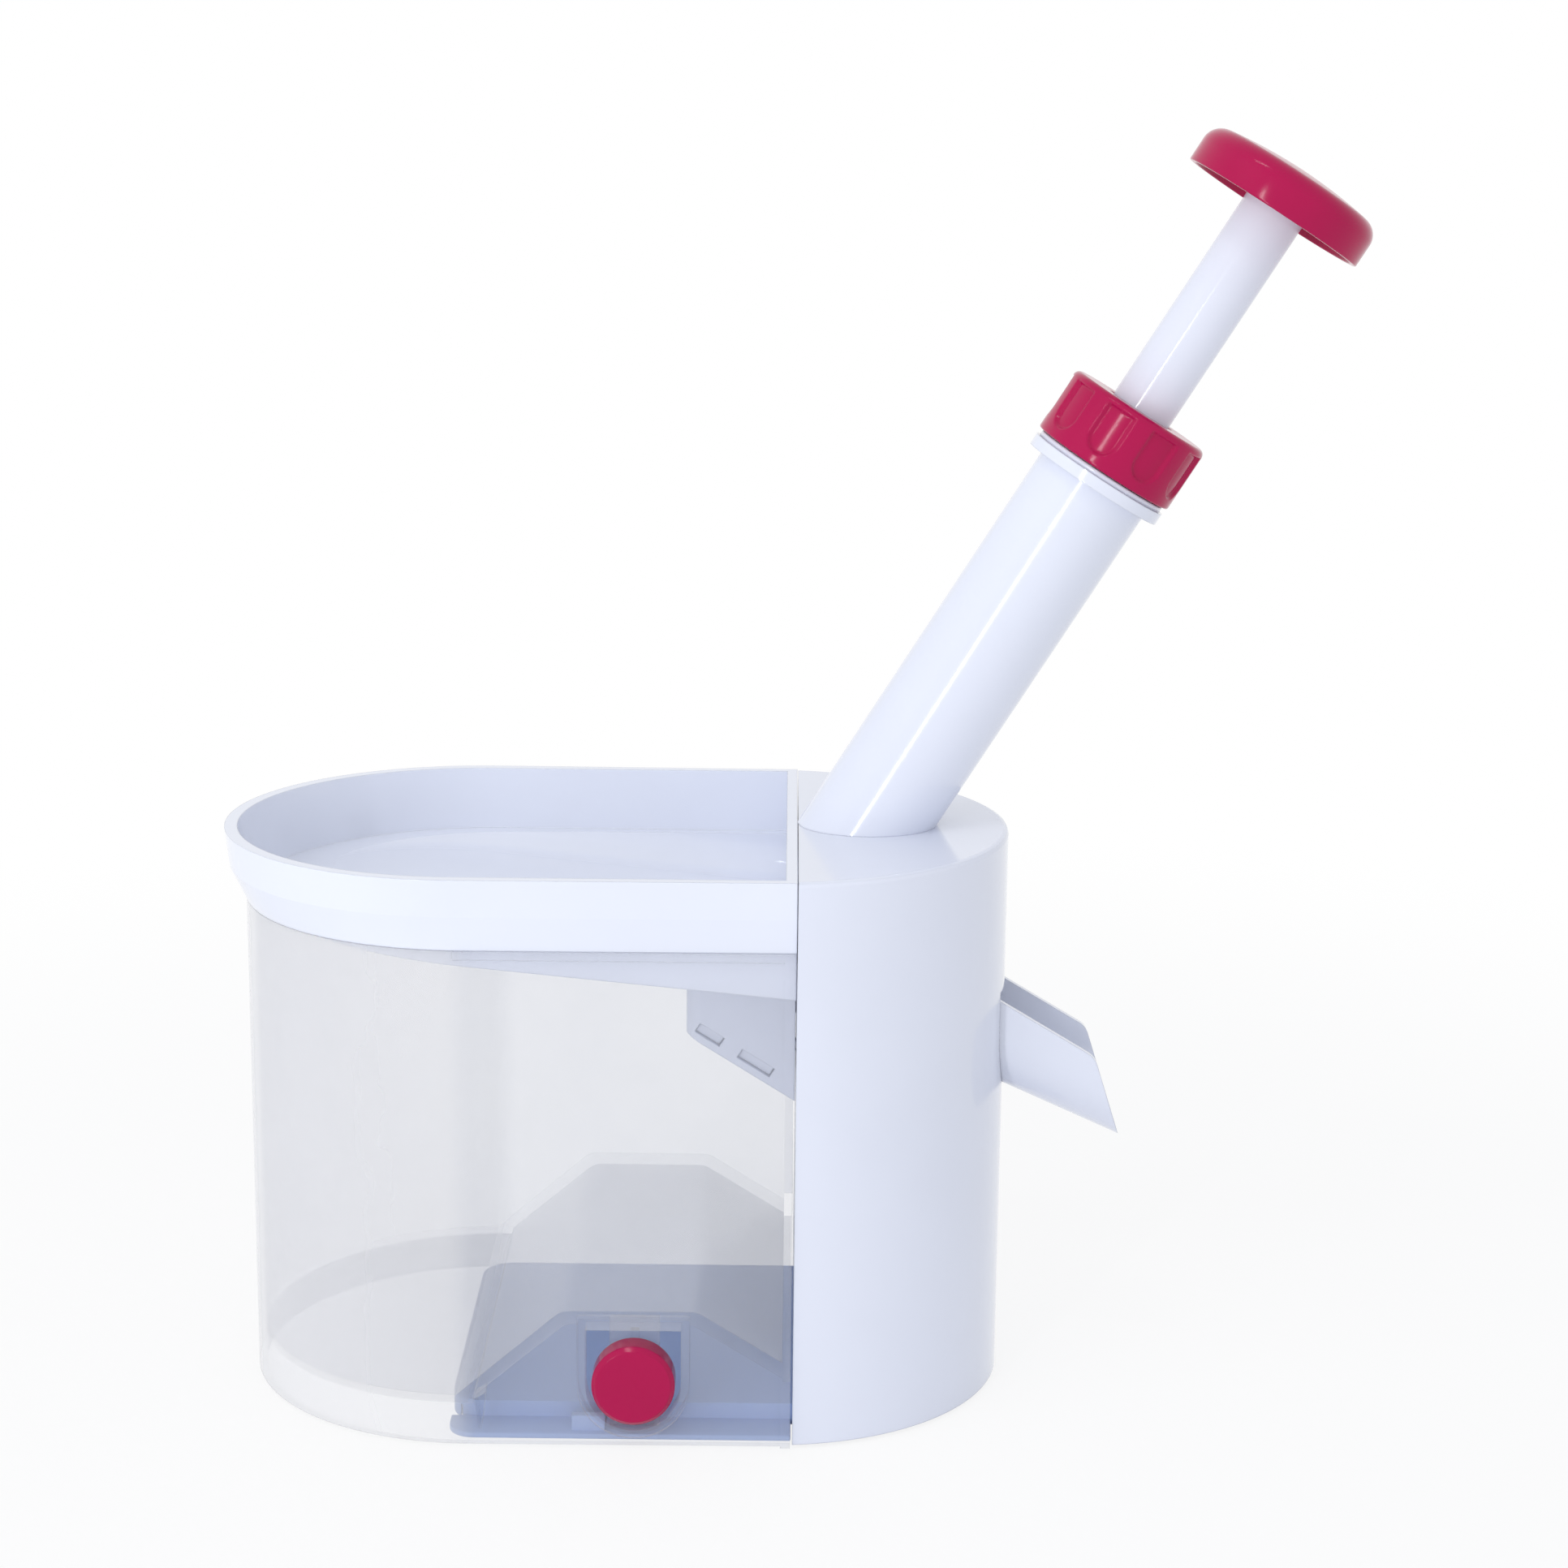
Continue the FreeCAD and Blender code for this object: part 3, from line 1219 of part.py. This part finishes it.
# return spring: one unbroken wire, closer at both ends
mean_radius = sheet.get("spring_radius")
wire_radius = sheet.get("wire_radius")
half_turns = int(sheet.get("spring_turns")) * 2
low_end = guide_top.value + wire_radius
high_end = stop_low.value - wire_radius
end_rise = wire_radius + 0.35
rises = [end_rise] * 2 + [0.0] * (half_turns - 4) + [end_rise] * 2
free_rise = (high_end - low_end - end_rise * 4) / (half_turns - 4)
rises = [rise_now if rise_now else free_rise for rise_now in rises]
heights = [low_end]
for rise_now in rises:
    heights.append(heights[-1] + rise_now)
wire_points = []
wire_ways = []
for index, height in enumerate(heights):
    angle = index * math.pi
    near = rises[max(index - 1, 0)]
    far = rises[min(index, half_turns - 1)]
    slope = (near + far) / 2.0 / math.pi
    wire_points.append(Vector(mean_radius * math.cos(angle), mean_radius * math.sin(angle), height))
    way = Vector(-mean_radius * math.sin(angle), mean_radius * math.cos(angle), slope)
    wire_ways.append(way.normalize())
coil_edges = []
for index in range(half_turns):
    for arc in biarc(wire_points[index], wire_ways[index], wire_points[index + 1], wire_ways[index + 1]):
        coil_edges.append(arc.toShape())
coil_path = Part.Wire(coil_edges)
section = Part.Wire(Part.makeCircle(wire_radius, wire_points[0], wire_ways[0]))
shell_maker = Part.BRepOffsetAPI.MakePipeShell(coil_path)
shell_maker.add(section)
shell_maker.build()
shell_maker.makeSolid()
spring = doc.addObject("Part::Feature", "return_spring")
spring.Label = "return_spring"
spring.Shape = shell_maker.shape()
place(
    spring, "Placement", size.origin_shift + size.axis_at_deck, 0, size.deck_height, size.plunger_tilt)
doc.recompute()

samples = []
for edge in coil_edges:
    for step in range(6):
        samples.append((len(samples), edge.valueAt(edge.FirstParameter + edge.ParameterRange[1] * step / 6.0
                                                   - edge.FirstParameter * step / 6.0)))
least = 1000.0
for index, point in samples:
    for other, far_point in samples[index + 12:]:
        least = min(least, point.distanceToPoint(far_point))
print("spring: least gap between turns %.2f mm" % (least - wire_radius * 2.0))

nodes = [
    tower, tray, barrel, bush, guide, chute, gasket, frame, base, screws, ties,
    collar, plunger, knob, stop_ring, carrier, pin, spring, container, tongue, button] + feet
os.makedirs("parts", exist_ok=True)
for item in doc.Objects:
    if "Invalid" in item.State or "Error" in item.State:
        raise RuntimeError("%s is in error: %s" % (item.Label, item.State))
for node in nodes:
    shape = node.Shape
    if shape.isNull() or not shape.isValid():
        raise RuntimeError("bad shape: " + node.Label)
    shape.exportStep("parts/%s.step" % node.Label)
    box = shape.BoundBox
    reach = (box.XMin, box.XMax, box.YMin, box.YMax, box.ZMin, box.ZMax)
    print("%-16s solids %d volume %9.1f  x %.1f..%.1f y %.1f..%.1f z %.1f..%.1f" % (
        (node.Label, len(shape.Solids), shape.Volume) + reach))
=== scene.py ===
import bpy
import bmesh
import json
import math
from mathutils import Matrix, Vector


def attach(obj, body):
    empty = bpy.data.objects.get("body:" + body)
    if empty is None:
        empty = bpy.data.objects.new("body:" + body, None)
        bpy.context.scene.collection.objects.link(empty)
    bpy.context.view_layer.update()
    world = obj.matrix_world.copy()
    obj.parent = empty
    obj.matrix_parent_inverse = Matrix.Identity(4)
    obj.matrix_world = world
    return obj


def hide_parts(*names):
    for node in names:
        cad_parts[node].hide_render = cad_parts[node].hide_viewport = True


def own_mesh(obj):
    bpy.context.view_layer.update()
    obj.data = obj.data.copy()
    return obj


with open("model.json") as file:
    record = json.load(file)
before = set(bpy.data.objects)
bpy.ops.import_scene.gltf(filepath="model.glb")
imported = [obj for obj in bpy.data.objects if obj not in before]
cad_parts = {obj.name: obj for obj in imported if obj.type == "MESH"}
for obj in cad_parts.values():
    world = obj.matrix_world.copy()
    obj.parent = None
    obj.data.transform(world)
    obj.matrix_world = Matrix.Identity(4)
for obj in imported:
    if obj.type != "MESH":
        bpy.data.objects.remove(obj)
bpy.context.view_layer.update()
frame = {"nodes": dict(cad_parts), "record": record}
mm = 0.001
softEdge = {"radius": 0.5, "samples": 6}
print("stage: frame loaded")


# shader maths as plain expressions
class Sock:
    def __init__(self, tree, socket):
        self.tree = tree
        self.socket = socket

    def maths(self, operation, *values):
        return self.tree.node("ShaderNodeMath", {"operation": operation}, *values)

    def __add__(self, other):
        return self.maths("ADD", self, other)

    __radd__ = __add__

    def __sub__(self, other):
        return self.maths("SUBTRACT", self, other)

    def __rsub__(self, other):
        return self.maths("SUBTRACT", other, self)

    def __mul__(self, other):
        return self.maths("MULTIPLY", self, other)

    __rmul__ = __mul__

    def most(self, other):
        return self.maths("MAXIMUM", self, other)

    # 0 at low and 1 at high, with a soft start and end
    def within(self, low, high):
        soft = {"interpolation_type": "SMOOTHSTEP"}
        return self.tree.node("ShaderNodeMapRange", soft, self, low, high, 0.0, 1.0)


class Tree:
    def __init__(self, name, kind="Material"):
        self.material = bpy.data.worlds.new(name) if kind == "World" else bpy.data.materials.new(name)
        self.material.use_nodes = True
        self.nodes = self.material.node_tree.nodes
        self.links = self.material.node_tree.links
        self.nodes.clear()
        self.outNode = self.nodes.new("ShaderNodeOutput" + kind)

    def put(self, socket, value):
        if isinstance(value, Sock):
            self.links.new(value.socket, socket)
        else:
            socket.default_value = value

    # settings first, then the sockets: by place where the values are bare, otherwise by name
    def node(self, kind, settings, *values, out=0, **named):
        made = self.nodes.new(kind)
        for key, value in settings.items():
            setattr(made, key, value)
        for index, value in enumerate(values):
            self.put(made.inputs[index], value)
        for key, value in named.items():
            self.put(made.inputs[key.replace("_", " ")], value)
        return Sock(self, made.outputs[out])

    # the Mix node's two colours are its sockets 6 and 7
    def mix(self, factor, first, second):
        mixed = self.node("ShaderNodeMix", {"data_type": "RGBA"}, factor, out=2)
        self.put(mixed.socket.node.inputs[6], first)
        self.put(mixed.socket.node.inputs[7], second)
        return mixed

    def place(self):
        return self.node("ShaderNodeTexCoord", {}, out=3)

    def noise(self, scale, detail, rough):
        return self.node(
            "ShaderNodeTexNoise", {}, Vector=self.place(), Scale=scale, Detail=detail, Roughness=rough)

    # fine relief over edges that a mould leaves slightly rounded
    def bump(self, height, strength, distance):
        rounded = self.node("ShaderNodeBevel", {"samples": softEdge["samples"]}, Radius=softEdge["radius"] * mm)
        return self.node(
            "ShaderNodeBump", {}, Height=height, Strength=strength, Distance=distance, Normal=rounded)

    def finish(self, shader):
        self.links.new(shader.socket, self.outNode.inputs["Surface"])
        return self.material


# a screen colour as linear light
def srgb(red, green, blue):
    values = [channel / 255.0 for channel in (red, green, blue)]
    return tuple(v / 12.92 if v <= 0.04045 else ((v + 0.055) / 1.055) ** 2.4 for v in values) + (1.0,)


def dimmed(colour, share):
    return tuple(channel * share for channel in colour[:3]) + (1.0,)


# moulded plastic: faint flow clouding, tiny scuffs in the gloss, a soft orange-peel surface
# (a pattern is the scale, detail and roughness of a noise, and a band is the part of it that is used)
moulding = {"clouds": (22.0, 3.0, 0.6), "cloudBand": (0.35, 0.65), "streaks": (90.0, 5.0, 0.7),
            "streakBand": (0.5, 0.75), "fine": (420.0, 4.0, 0.65), "peel": 0.06,
            "peelDepth": 0.00008, "coatRough": 0.08, "ior": 1.49}


def plastic(name, colour, rough, coat, cloud=0.015, scuff=0.05, gloss=0.5):
    tree = Tree(name)
    clouds = tree.noise(*moulding["clouds"])
    streaks = tree.noise(*moulding["streaks"])
    fine = tree.noise(*moulding["fine"])
    return tree.finish(tree.node(
        "ShaderNodeBsdfPrincipled", {},
        Base_Color=tree.mix(clouds.within(*moulding["cloudBand"]), dimmed(colour, 1.0 - cloud), colour),
        Roughness=rough + streaks.within(*moulding["streakBand"]) * scuff,
        Normal=tree.bump(fine, moulding["peel"], moulding["peelDepth"]),
        IOR=moulding["ior"], Coat_Weight=coat, Coat_Roughness=moulding["coatRough"], Specular_IOR_Level=gloss))


# translucent plastic: a grey haze that turns milky round the left end and where the wall is seen edge on
haze = {"clouds": (30.0, 3.0, 0.6), "cloudBand": (0.3, 0.7), "fine": (500.0, 3.0, 0.6), "alpha": 0.11,
        "cloudAlpha": 0.02, "edgeAlpha": 0.35, "edgeBlend": 0.35, "leftAlpha": 0.12, "leftFrom": -0.0705,
        "leftFull": -0.0785, "rough": 0.14, "grain": 0.03, "grainDepth": 0.00006, "ior": 1.49}


def milkyPlastic(name, clear, milky):
    tree = Tree(name)
    clouds = tree.noise(*haze["clouds"])
    fine = tree.noise(*haze["fine"])
    edge = tree.node("ShaderNodeLayerWeight", {}, Blend=haze["edgeBlend"], out=1)
    along = tree.node("ShaderNodeSeparateXYZ", {}, tree.place(), out=0)
    leftEnd = 1.0 - along.within(haze["leftFull"], haze["leftFrom"])
    density = haze["alpha"] + clouds.within(*haze["cloudBand"]) * haze["cloudAlpha"]
    density = density + edge * haze["edgeAlpha"] + leftEnd * haze["leftAlpha"]
    return tree.finish(tree.node(
        "ShaderNodeBsdfPrincipled", {}, Base_Color=tree.mix(leftEnd.most(edge), clear, milky),
        Roughness=haze["rough"], Alpha=density, Normal=tree.bump(fine, haze["grain"], haze["grainDepth"]),
        IOR=haze["ior"]))


# steel of the pin, screws and spring: fine grain, darker where it is worn
brushed = {"grain": (600.0, 4.0, 0.6), "grainBand": (0.4, 0.7), "grainRough": 0.12, "worn": (80.0, 4.0, 0.6),
           "wornShade": 0.8, "relief": 0.1, "reliefDepth": 0.00005}


def metal(name, colour, rough):
    tree = Tree(name)
    grain = tree.noise(*brushed["grain"])
    worn = tree.noise(*brushed["worn"])
    return tree.finish(tree.node(
        "ShaderNodeBsdfPrincipled", {}, Base_Color=tree.mix(worn, colour, dimmed(colour, brushed["wornShade"])),
        Roughness=rough + grain.within(*brushed["grainBand"]) * brushed["grainRough"],
        Normal=tree.bump(grain, brushed["relief"], brushed["reliefDepth"]), Metallic=1.0))


# rubber and silicone: dull, with a dusty grain
dust = {"grain": (900.0, 3.0, 0.7), "shade": 0.85, "rough": 0.62, "grainRough": 0.15,
        "relief": 0.3, "reliefDepth": 0.0001}


def rubbery(name, colour):
    tree = Tree(name)
    grain = tree.noise(*dust["grain"])
    return tree.finish(tree.node(
        "ShaderNodeBsdfPrincipled", {}, Base_Color=tree.mix(grain, colour, dimmed(colour, dust["shade"])),
        Roughness=dust["rough"] + grain * dust["grainRough"],
        Normal=tree.bump(grain, dust["relief"], dust["reliefDepth"])))


steel = metal("steel", srgb(196, 198, 202), rough=0.25)
finishes = {
    "white_plastic": plastic("white gloss plastic", srgb(228, 232, 245), rough=0.12, coat=0.35),
    "tray_plastic": plastic("tray plastic", srgb(232, 236, 248), rough=0.15, coat=0.35),
    # base plastic: white plastic drawn dark blue-grey, painted shade for the base lying in the shadow under the
    # container
    "base_plastic": plastic("base plastic with painted shade", srgb(160, 183, 228), rough=0.4, coat=0.0),
    "bush_plastic": plastic("bush plastic", srgb(226, 228, 232), rough=0.45, coat=0.0),
    "red_plastic": plastic(
        "red gloss plastic", srgb(178, 2, 76), rough=0.14, coat=0.0, cloud=0.06, scuff=0.03, gloss=0.24),
    "clear_plastic": milkyPlastic("milky plastic", srgb(222, 225, 235), srgb(240, 240, 243)),
    "steel": steel,
    "spring_steel": steel,
    "silicone": rubbery("silicone", srgb(225, 225, 228)),
    "rubber": rubbery("foot rubber", srgb(190, 192, 198))}
print("stage: materials made")

for part in frame["record"]["subparts"]:
    shown = frame["nodes"][part["node"]]
    shown.data.materials.clear()
    shown.data.materials.append(finishes[part["material_slot"]])
print("stage: nodes dressed")


def linked(name, data):
    thing = bpy.data.objects.new(name, data)
    bpy.context.scene.collection.objects.link(thing)
    return thing


# camera: placed and turned as the photograph's perspective was solved, with the focal length in pixels
view = {"place": (0.00053, -0.76517, 0.32512), "turn": 0.0576, "down": 12.918, "roll": 0.6176,
        "focal": 3943.0, "frame": 1932.0, "sensor": 36.0, "near": 0.05, "far": 20.0}
turn, down, roll = (math.radians(view[key]) for key in ("turn", "down", "roll"))
back = Vector((math.sin(turn) * math.cos(down), -math.cos(turn) * math.cos(down), math.sin(down)))
side = (-back).cross(Vector((0.0, 0.0, 1.0))).normalized()
over = side.cross(-back)
sideRolled = side * math.cos(roll) + over * math.sin(roll)
overRolled = over * math.cos(roll) - side * math.sin(roll)
cameraData = bpy.data.cameras.new("camera")
cameraData.sensor_width = view["sensor"]
cameraData.lens = view["sensor"] * view["focal"] / view["frame"]
cameraData.clip_start = view["near"]
cameraData.clip_end = view["far"]
camera = linked("camera", cameraData)
cameraAxes = Matrix((sideRolled, overRolled, back)).transposed().to_4x4()
camera.matrix_world = Matrix.Translation(view["place"]) @ cameraAxes
bpy.context.scene.camera = camera

# the plunger's leaning axis: heights are counted along it from where it crosses the deck
lean = {"tilt": 32.0, "across": 0.0203, "deck": 0.14}
tilt = math.radians(lean["tilt"])
leanAxes = Matrix((
    (math.cos(tilt), 0.0, math.sin(tilt), lean["across"]),
    (0.0, 1.0, 0.0, 0.0),
    (-math.sin(tilt), 0.0, math.cos(tilt), lean["deck"]),
    (0.0, 0.0, 0.0, 1.0)))


# points of an arc in an outline, in degrees from the outward direction
def arcPoints(radius, height, size, start, end, steps):
    angles = [math.radians(start + (end - start) * step / steps) for step in range(steps + 1)]
    return [(radius + size * math.cos(angle), height + size * math.sin(angle)) for angle in angles]


def made(shape, name, material):
    mesh = bpy.data.meshes.new(name)
    shape.to_mesh(mesh)
    shape.free()
    mesh.materials.append(material)
    return linked(name, mesh)


def keep(shape, name, body, slot):
    bmesh.ops.recalc_face_normals(shape, faces=shape.faces)
    for face in shape.faces:
        face.smooth = True
    piece = made(shape, name, finishes[slot])
    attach(piece, body)
    return piece


# an outline of (radius, height) in millimetres, turned about the leaning axis
def turned(outline, steps, closed=True, press=None):
    sameSpot = 0.002 * mm
    shape = bmesh.new()
    points = [shape.verts.new((radius * mm, 0.0, height * mm)) for radius, height in outline]
    ends = points[1:] + points[:1] if closed else points[1:]
    edges = [shape.edges.new(pair) for pair in zip(points, ends)]
    bmesh.ops.spin(
        shape, geom=points + edges, cent=(0, 0, 0), axis=(0, 0, 1), angle=math.tau, steps=steps, use_merge=True)
    bmesh.ops.remove_doubles(shape, verts=shape.verts, dist=sameSpot)
    bmesh.ops.dissolve_degenerate(shape, edges=shape.edges, dist=sameSpot)
    if press:
        for vert in shape.verts:
            vert.co = press(vert.co)
    bmesh.ops.transform(shape, matrix=leanAxes, verts=shape.verts)
    return shape


# palm knob: straight side, rounded shoulder and a low crown, dished below
knob = {"low": 175.6, "radius": 23.3, "side": 10.4, "round": 4.6, "edge": 0.35, "meet": 81.0,
        "dish": 3.0, "dishRound": 1.0, "lip": 1.6, "lipRound": 0.3, "crownSteps": 12, "turnSteps": 128}
dishRadius, dishTop = knob["radius"] - knob["lip"], knob["low"] + knob["dish"]
shoulderFoot = knob["low"] + knob["side"] - knob["round"]
knobOutline = [(0.0, dishTop)]
knobOutline += arcPoints(
    dishRadius - knob["dishRound"], dishTop - knob["dishRound"], knob["dishRound"], 90, 0, steps=4)
knobOutline += arcPoints(
    dishRadius + knob["lipRound"], knob["low"] + knob["lipRound"], knob["lipRound"], 180, 270, steps=3)
knobOutline += arcPoints(
    knob["radius"] - knob["edge"], knob["low"] + knob["edge"], knob["edge"], -90, 0, steps=5)
knobOutline += arcPoints(
    knob["radius"] - knob["round"], shoulderFoot, knob["round"], 0, knob["meet"], steps=16)
crownRadius, crownFoot = knobOutline[-1]
crownRise = crownRadius * 0.5 / math.tan(math.radians(knob["meet"]))
for step in range(1, knob["crownSteps"] + 1):
    outward = 1.0 - step / knob["crownSteps"]
    knobOutline.append((crownRadius * outward, crownFoot + crownRise * (1.0 - outward ** 2)))
knobPiece = keep(turned(knobOutline, knob["turnSteps"], closed=False), "knob", "plunger", "red_plastic")
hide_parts("palm_knob")

# collar: a cap with nine shallow finger grips pressed into its side
collar = {"low": 104.1, "top": 120.4, "radius": 18.3, "inner": 16.1, "hole": 8.6, "holeRound": 0.4,
          "lip": 3.2, "round": 1.6, "edge": 0.5, "rows": 48, "turnSteps": 360,
          "grips": 9, "gripHalf": 3.7, "gripFoot": 2.9, "gripTop": 1.9, "depth": 0.9, "blur": 0.35,
          "leftAlone": 0.6}


# moves a point of the outside inwards where a grip lies, and leaves the inner side of the wall alone
def pressGrip(place):
    radius = math.hypot(place.x, place.y) / mm
    if radius < collar["inner"] + collar["leftAlone"]:
        return place
    spacing = math.tau / collar["grips"]
    angle = math.atan2(place.y, place.x) - math.pi / 2.0
    across = abs(angle - round(angle / spacing) * spacing) * collar["radius"]
    height = place.z / mm
    middle = collar["low"] + collar["gripFoot"] + collar["gripHalf"]
    reach = math.hypot(across, min(height - middle, 0.0)) - collar["gripHalf"]
    reach = max(reach, height - collar["top"] + collar["gripTop"])
    share = min(max(0.5 - reach / (collar["blur"] * 2.0), 0.0), 1.0)
    factor = 1.0 - collar["depth"] * share * share * (3.0 - 2.0 * share) / radius
    return Vector((place.x * factor, place.y * factor, place.z))


collarFoot, collarSide = collar["low"] + collar["edge"], collar["top"] - collar["round"]
lidUnder = collar["top"] - collar["lip"]
collarOutline = [(collar["inner"], collar["low"])]
collarOutline += arcPoints(collar["radius"] - collar["edge"], collarFoot, collar["edge"], -90, 0, steps=4)
for row in range(1, collar["rows"]):
    collarOutline.append((collar["radius"], collarFoot + (collarSide - collarFoot) * row / collar["rows"]))
collarOutline += arcPoints(collar["radius"] - collar["round"], collarSide, collar["round"], 0, 90, steps=8)
collarOutline += arcPoints(
    collar["hole"] + collar["holeRound"], collar["top"] - collar["holeRound"], collar["holeRound"], 90, 180,
    steps=3)
collarOutline += [(collar["hole"], lidUnder), (collar["inner"], lidUnder)]
collarShape = turned(collarOutline, collar["turnSteps"], press=pressGrip)
collarPiece = keep(collarShape, "collar", "collar", "red_plastic")
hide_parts("collar_nut")

# shoulder between the flange and the collar, with its upper edge cut off slightly
shoulder = {"inner": 13.95, "outer": 17.1, "crown": 16.9, "low": 102.45, "side": 103.6, "top": 103.85,
            "turnSteps": 96}
shoulderOutline = [
    (shoulder[radius], shoulder[height]) for radius, height in (
        ("inner", "low"), ("outer", "low"), ("outer", "side"), ("crown", "top"), ("inner", "top"))]
keep(turned(shoulderOutline, shoulder["turnSteps"]), "flangeShoulder", "housing", "white_plastic")

# return spring between the guide and the stop ring: a copy of its mesh with doubled points merged, carried by
# the housing
spring = {"low": 14.0, "high": 94.1, "stroke": 52.0, "sameSpot": 0.001}
shape = bmesh.new()
shape.from_mesh(frame["nodes"]["return_spring"].data)
bmesh.ops.remove_doubles(shape, verts=shape.verts, dist=spring["sameSpot"] * mm)
springPiece = keep(shape, "returnSpring", "housing", "spring_steel")
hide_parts("return_spring")
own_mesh(springPiece)

# foot strip: the base reaches forward under the container's front wall, with a round corner at the left; its
# dark blue-grey colour is painted shade
strip = {"left": -0.079, "right": 0.003, "front": -0.0548, "back": -0.0445, "low": 0.001, "high": 0.0024,
         "corner": 0.006, "edge": 0.0003}
stripMiddle = Vector((strip["left"] + strip["right"], strip["front"] + strip["back"])) / 2.0
shape = bmesh.new()
bmesh.ops.create_cube(shape, size=1.0)
for vert in shape.verts:
    vert.co = Vector((
        strip["left"] if vert.co.x < 0 else strip["right"],
        strip["front"] if vert.co.y < 0 else strip["back"],
        strip["low"] if vert.co.z < 0 else strip["high"]))
corner = [
    edge for edge in shape.edges
    if all(vert.co.x < stripMiddle.x and vert.co.y < stripMiddle.y for vert in edge.verts)]
bmesh.ops.bevel(
    shape, geom=corner, offset=strip["corner"], segments=8, profile=0.5, affect="EDGES", material=-1)
bmesh.ops.bevel(
    shape, geom=shape.edges[:], offset=strip["edge"], segments=2, profile=0.5, affect="EDGES", material=-1)
keep(shape, "footStrip", "housing", "base_plastic")
print("stage: knob, collar, shoulder, spring and foot strip made")

# floor: pale and plain, it keeps the shadow near the object and runs out into the white backdrop
studio = {"floorSize": 6.0, "floorTone": (0.9, 0.9, 0.91, 1.0), "shadowFrom": 0.22, "shadowTo": 0.6,
          "kept": 0.16, "room": 0.77, "roomTone": (0.94, 0.96, 1.0, 1.0), "white": (1.0, 1.0, 1.0, 1.0)}


# rays that show the backdrop: the camera's, and those of gloss and glass
def backdropRays(tree):
    fromCamera, glossy, through = (tree.node("ShaderNodeLightPath", {}, out=index) for index in (0, 3, 6))
    return fromCamera.most(glossy).most(through)


def floorMaterial():
    tree = Tree("floor")
    far = tree.node("ShaderNodeVectorMath", {"operation": "LENGTH"}, tree.place(), out=1)
    white = 1.0 - far.within(studio["shadowTo"], studio["shadowFrom"]) * studio["kept"]
    diffuse = tree.node("ShaderNodeBsdfDiffuse", {}, Color=studio["floorTone"])
    plain = tree.node("ShaderNodeEmission", {}, Color=studio["white"], Strength=1.0)
    return tree.finish(tree.node("ShaderNodeMixShader", {}, backdropRays(tree) * white, diffuse, plain))


shape = bmesh.new()
bmesh.ops.create_grid(shape, x_segments=1, y_segments=1, size=studio["floorSize"])
floor = made(shape, "floor", floorMaterial())

# backdrop: white where it is seen, a soft pale room for the light on the object
backdrop = Tree("studio", "World")
room = backdrop.node("ShaderNodeBackground", {}, studio["roomTone"], studio["room"])
seen = backdrop.node("ShaderNodeBackground", {}, studio["white"], 1.0)
bpy.context.scene.world = backdrop.finish(
    backdrop.node("ShaderNodeMixShader", {}, backdropRays(backdrop), room, seen))

# lamps: a tall strip for the line of light on the tubes, a wide soft key that shows in no gloss,
# and a narrow lamp above for the glints on the knob and the collar
lamps = {
    "strip": {"place": (-0.47, -1.1, 0.255), "aim": (0.0, 0.0, 0.255), "size": (0.05, 0.69), "watts": 3.2,
              "shines": True},
    "key": {"place": (-1.1, -0.9, 1.1), "aim": (0.0, 0.0, 0.12), "size": (0.9, 0.9), "watts": 4.5,
            "shines": False},
    "glint": {"place": (-0.35, -0.75, 1.6), "aim": (0.0, 0.0, 0.2), "size": (0.5, 0.08), "watts": 1.6,
              "shines": True}}


def softbox(name, place, aim, size, watts, shines):
    lamp = bpy.data.lights.new(name, "AREA")
    lamp.shape = "RECTANGLE"
    lamp.size, lamp.size_y = size
    lamp.energy = watts
    holder = linked(name, lamp)
    holder.rotation_mode = "QUATERNION"
    holder.location = place
    holder.rotation_quaternion = (Vector(aim) - Vector(place)).normalized().to_track_quat("-Z", "Y")
    holder.visible_glossy = shines


for name, values in lamps.items():
    softbox(name, **values)
bpy.context.scene.view_settings.view_transform = "Standard"
print("stage: studio set")
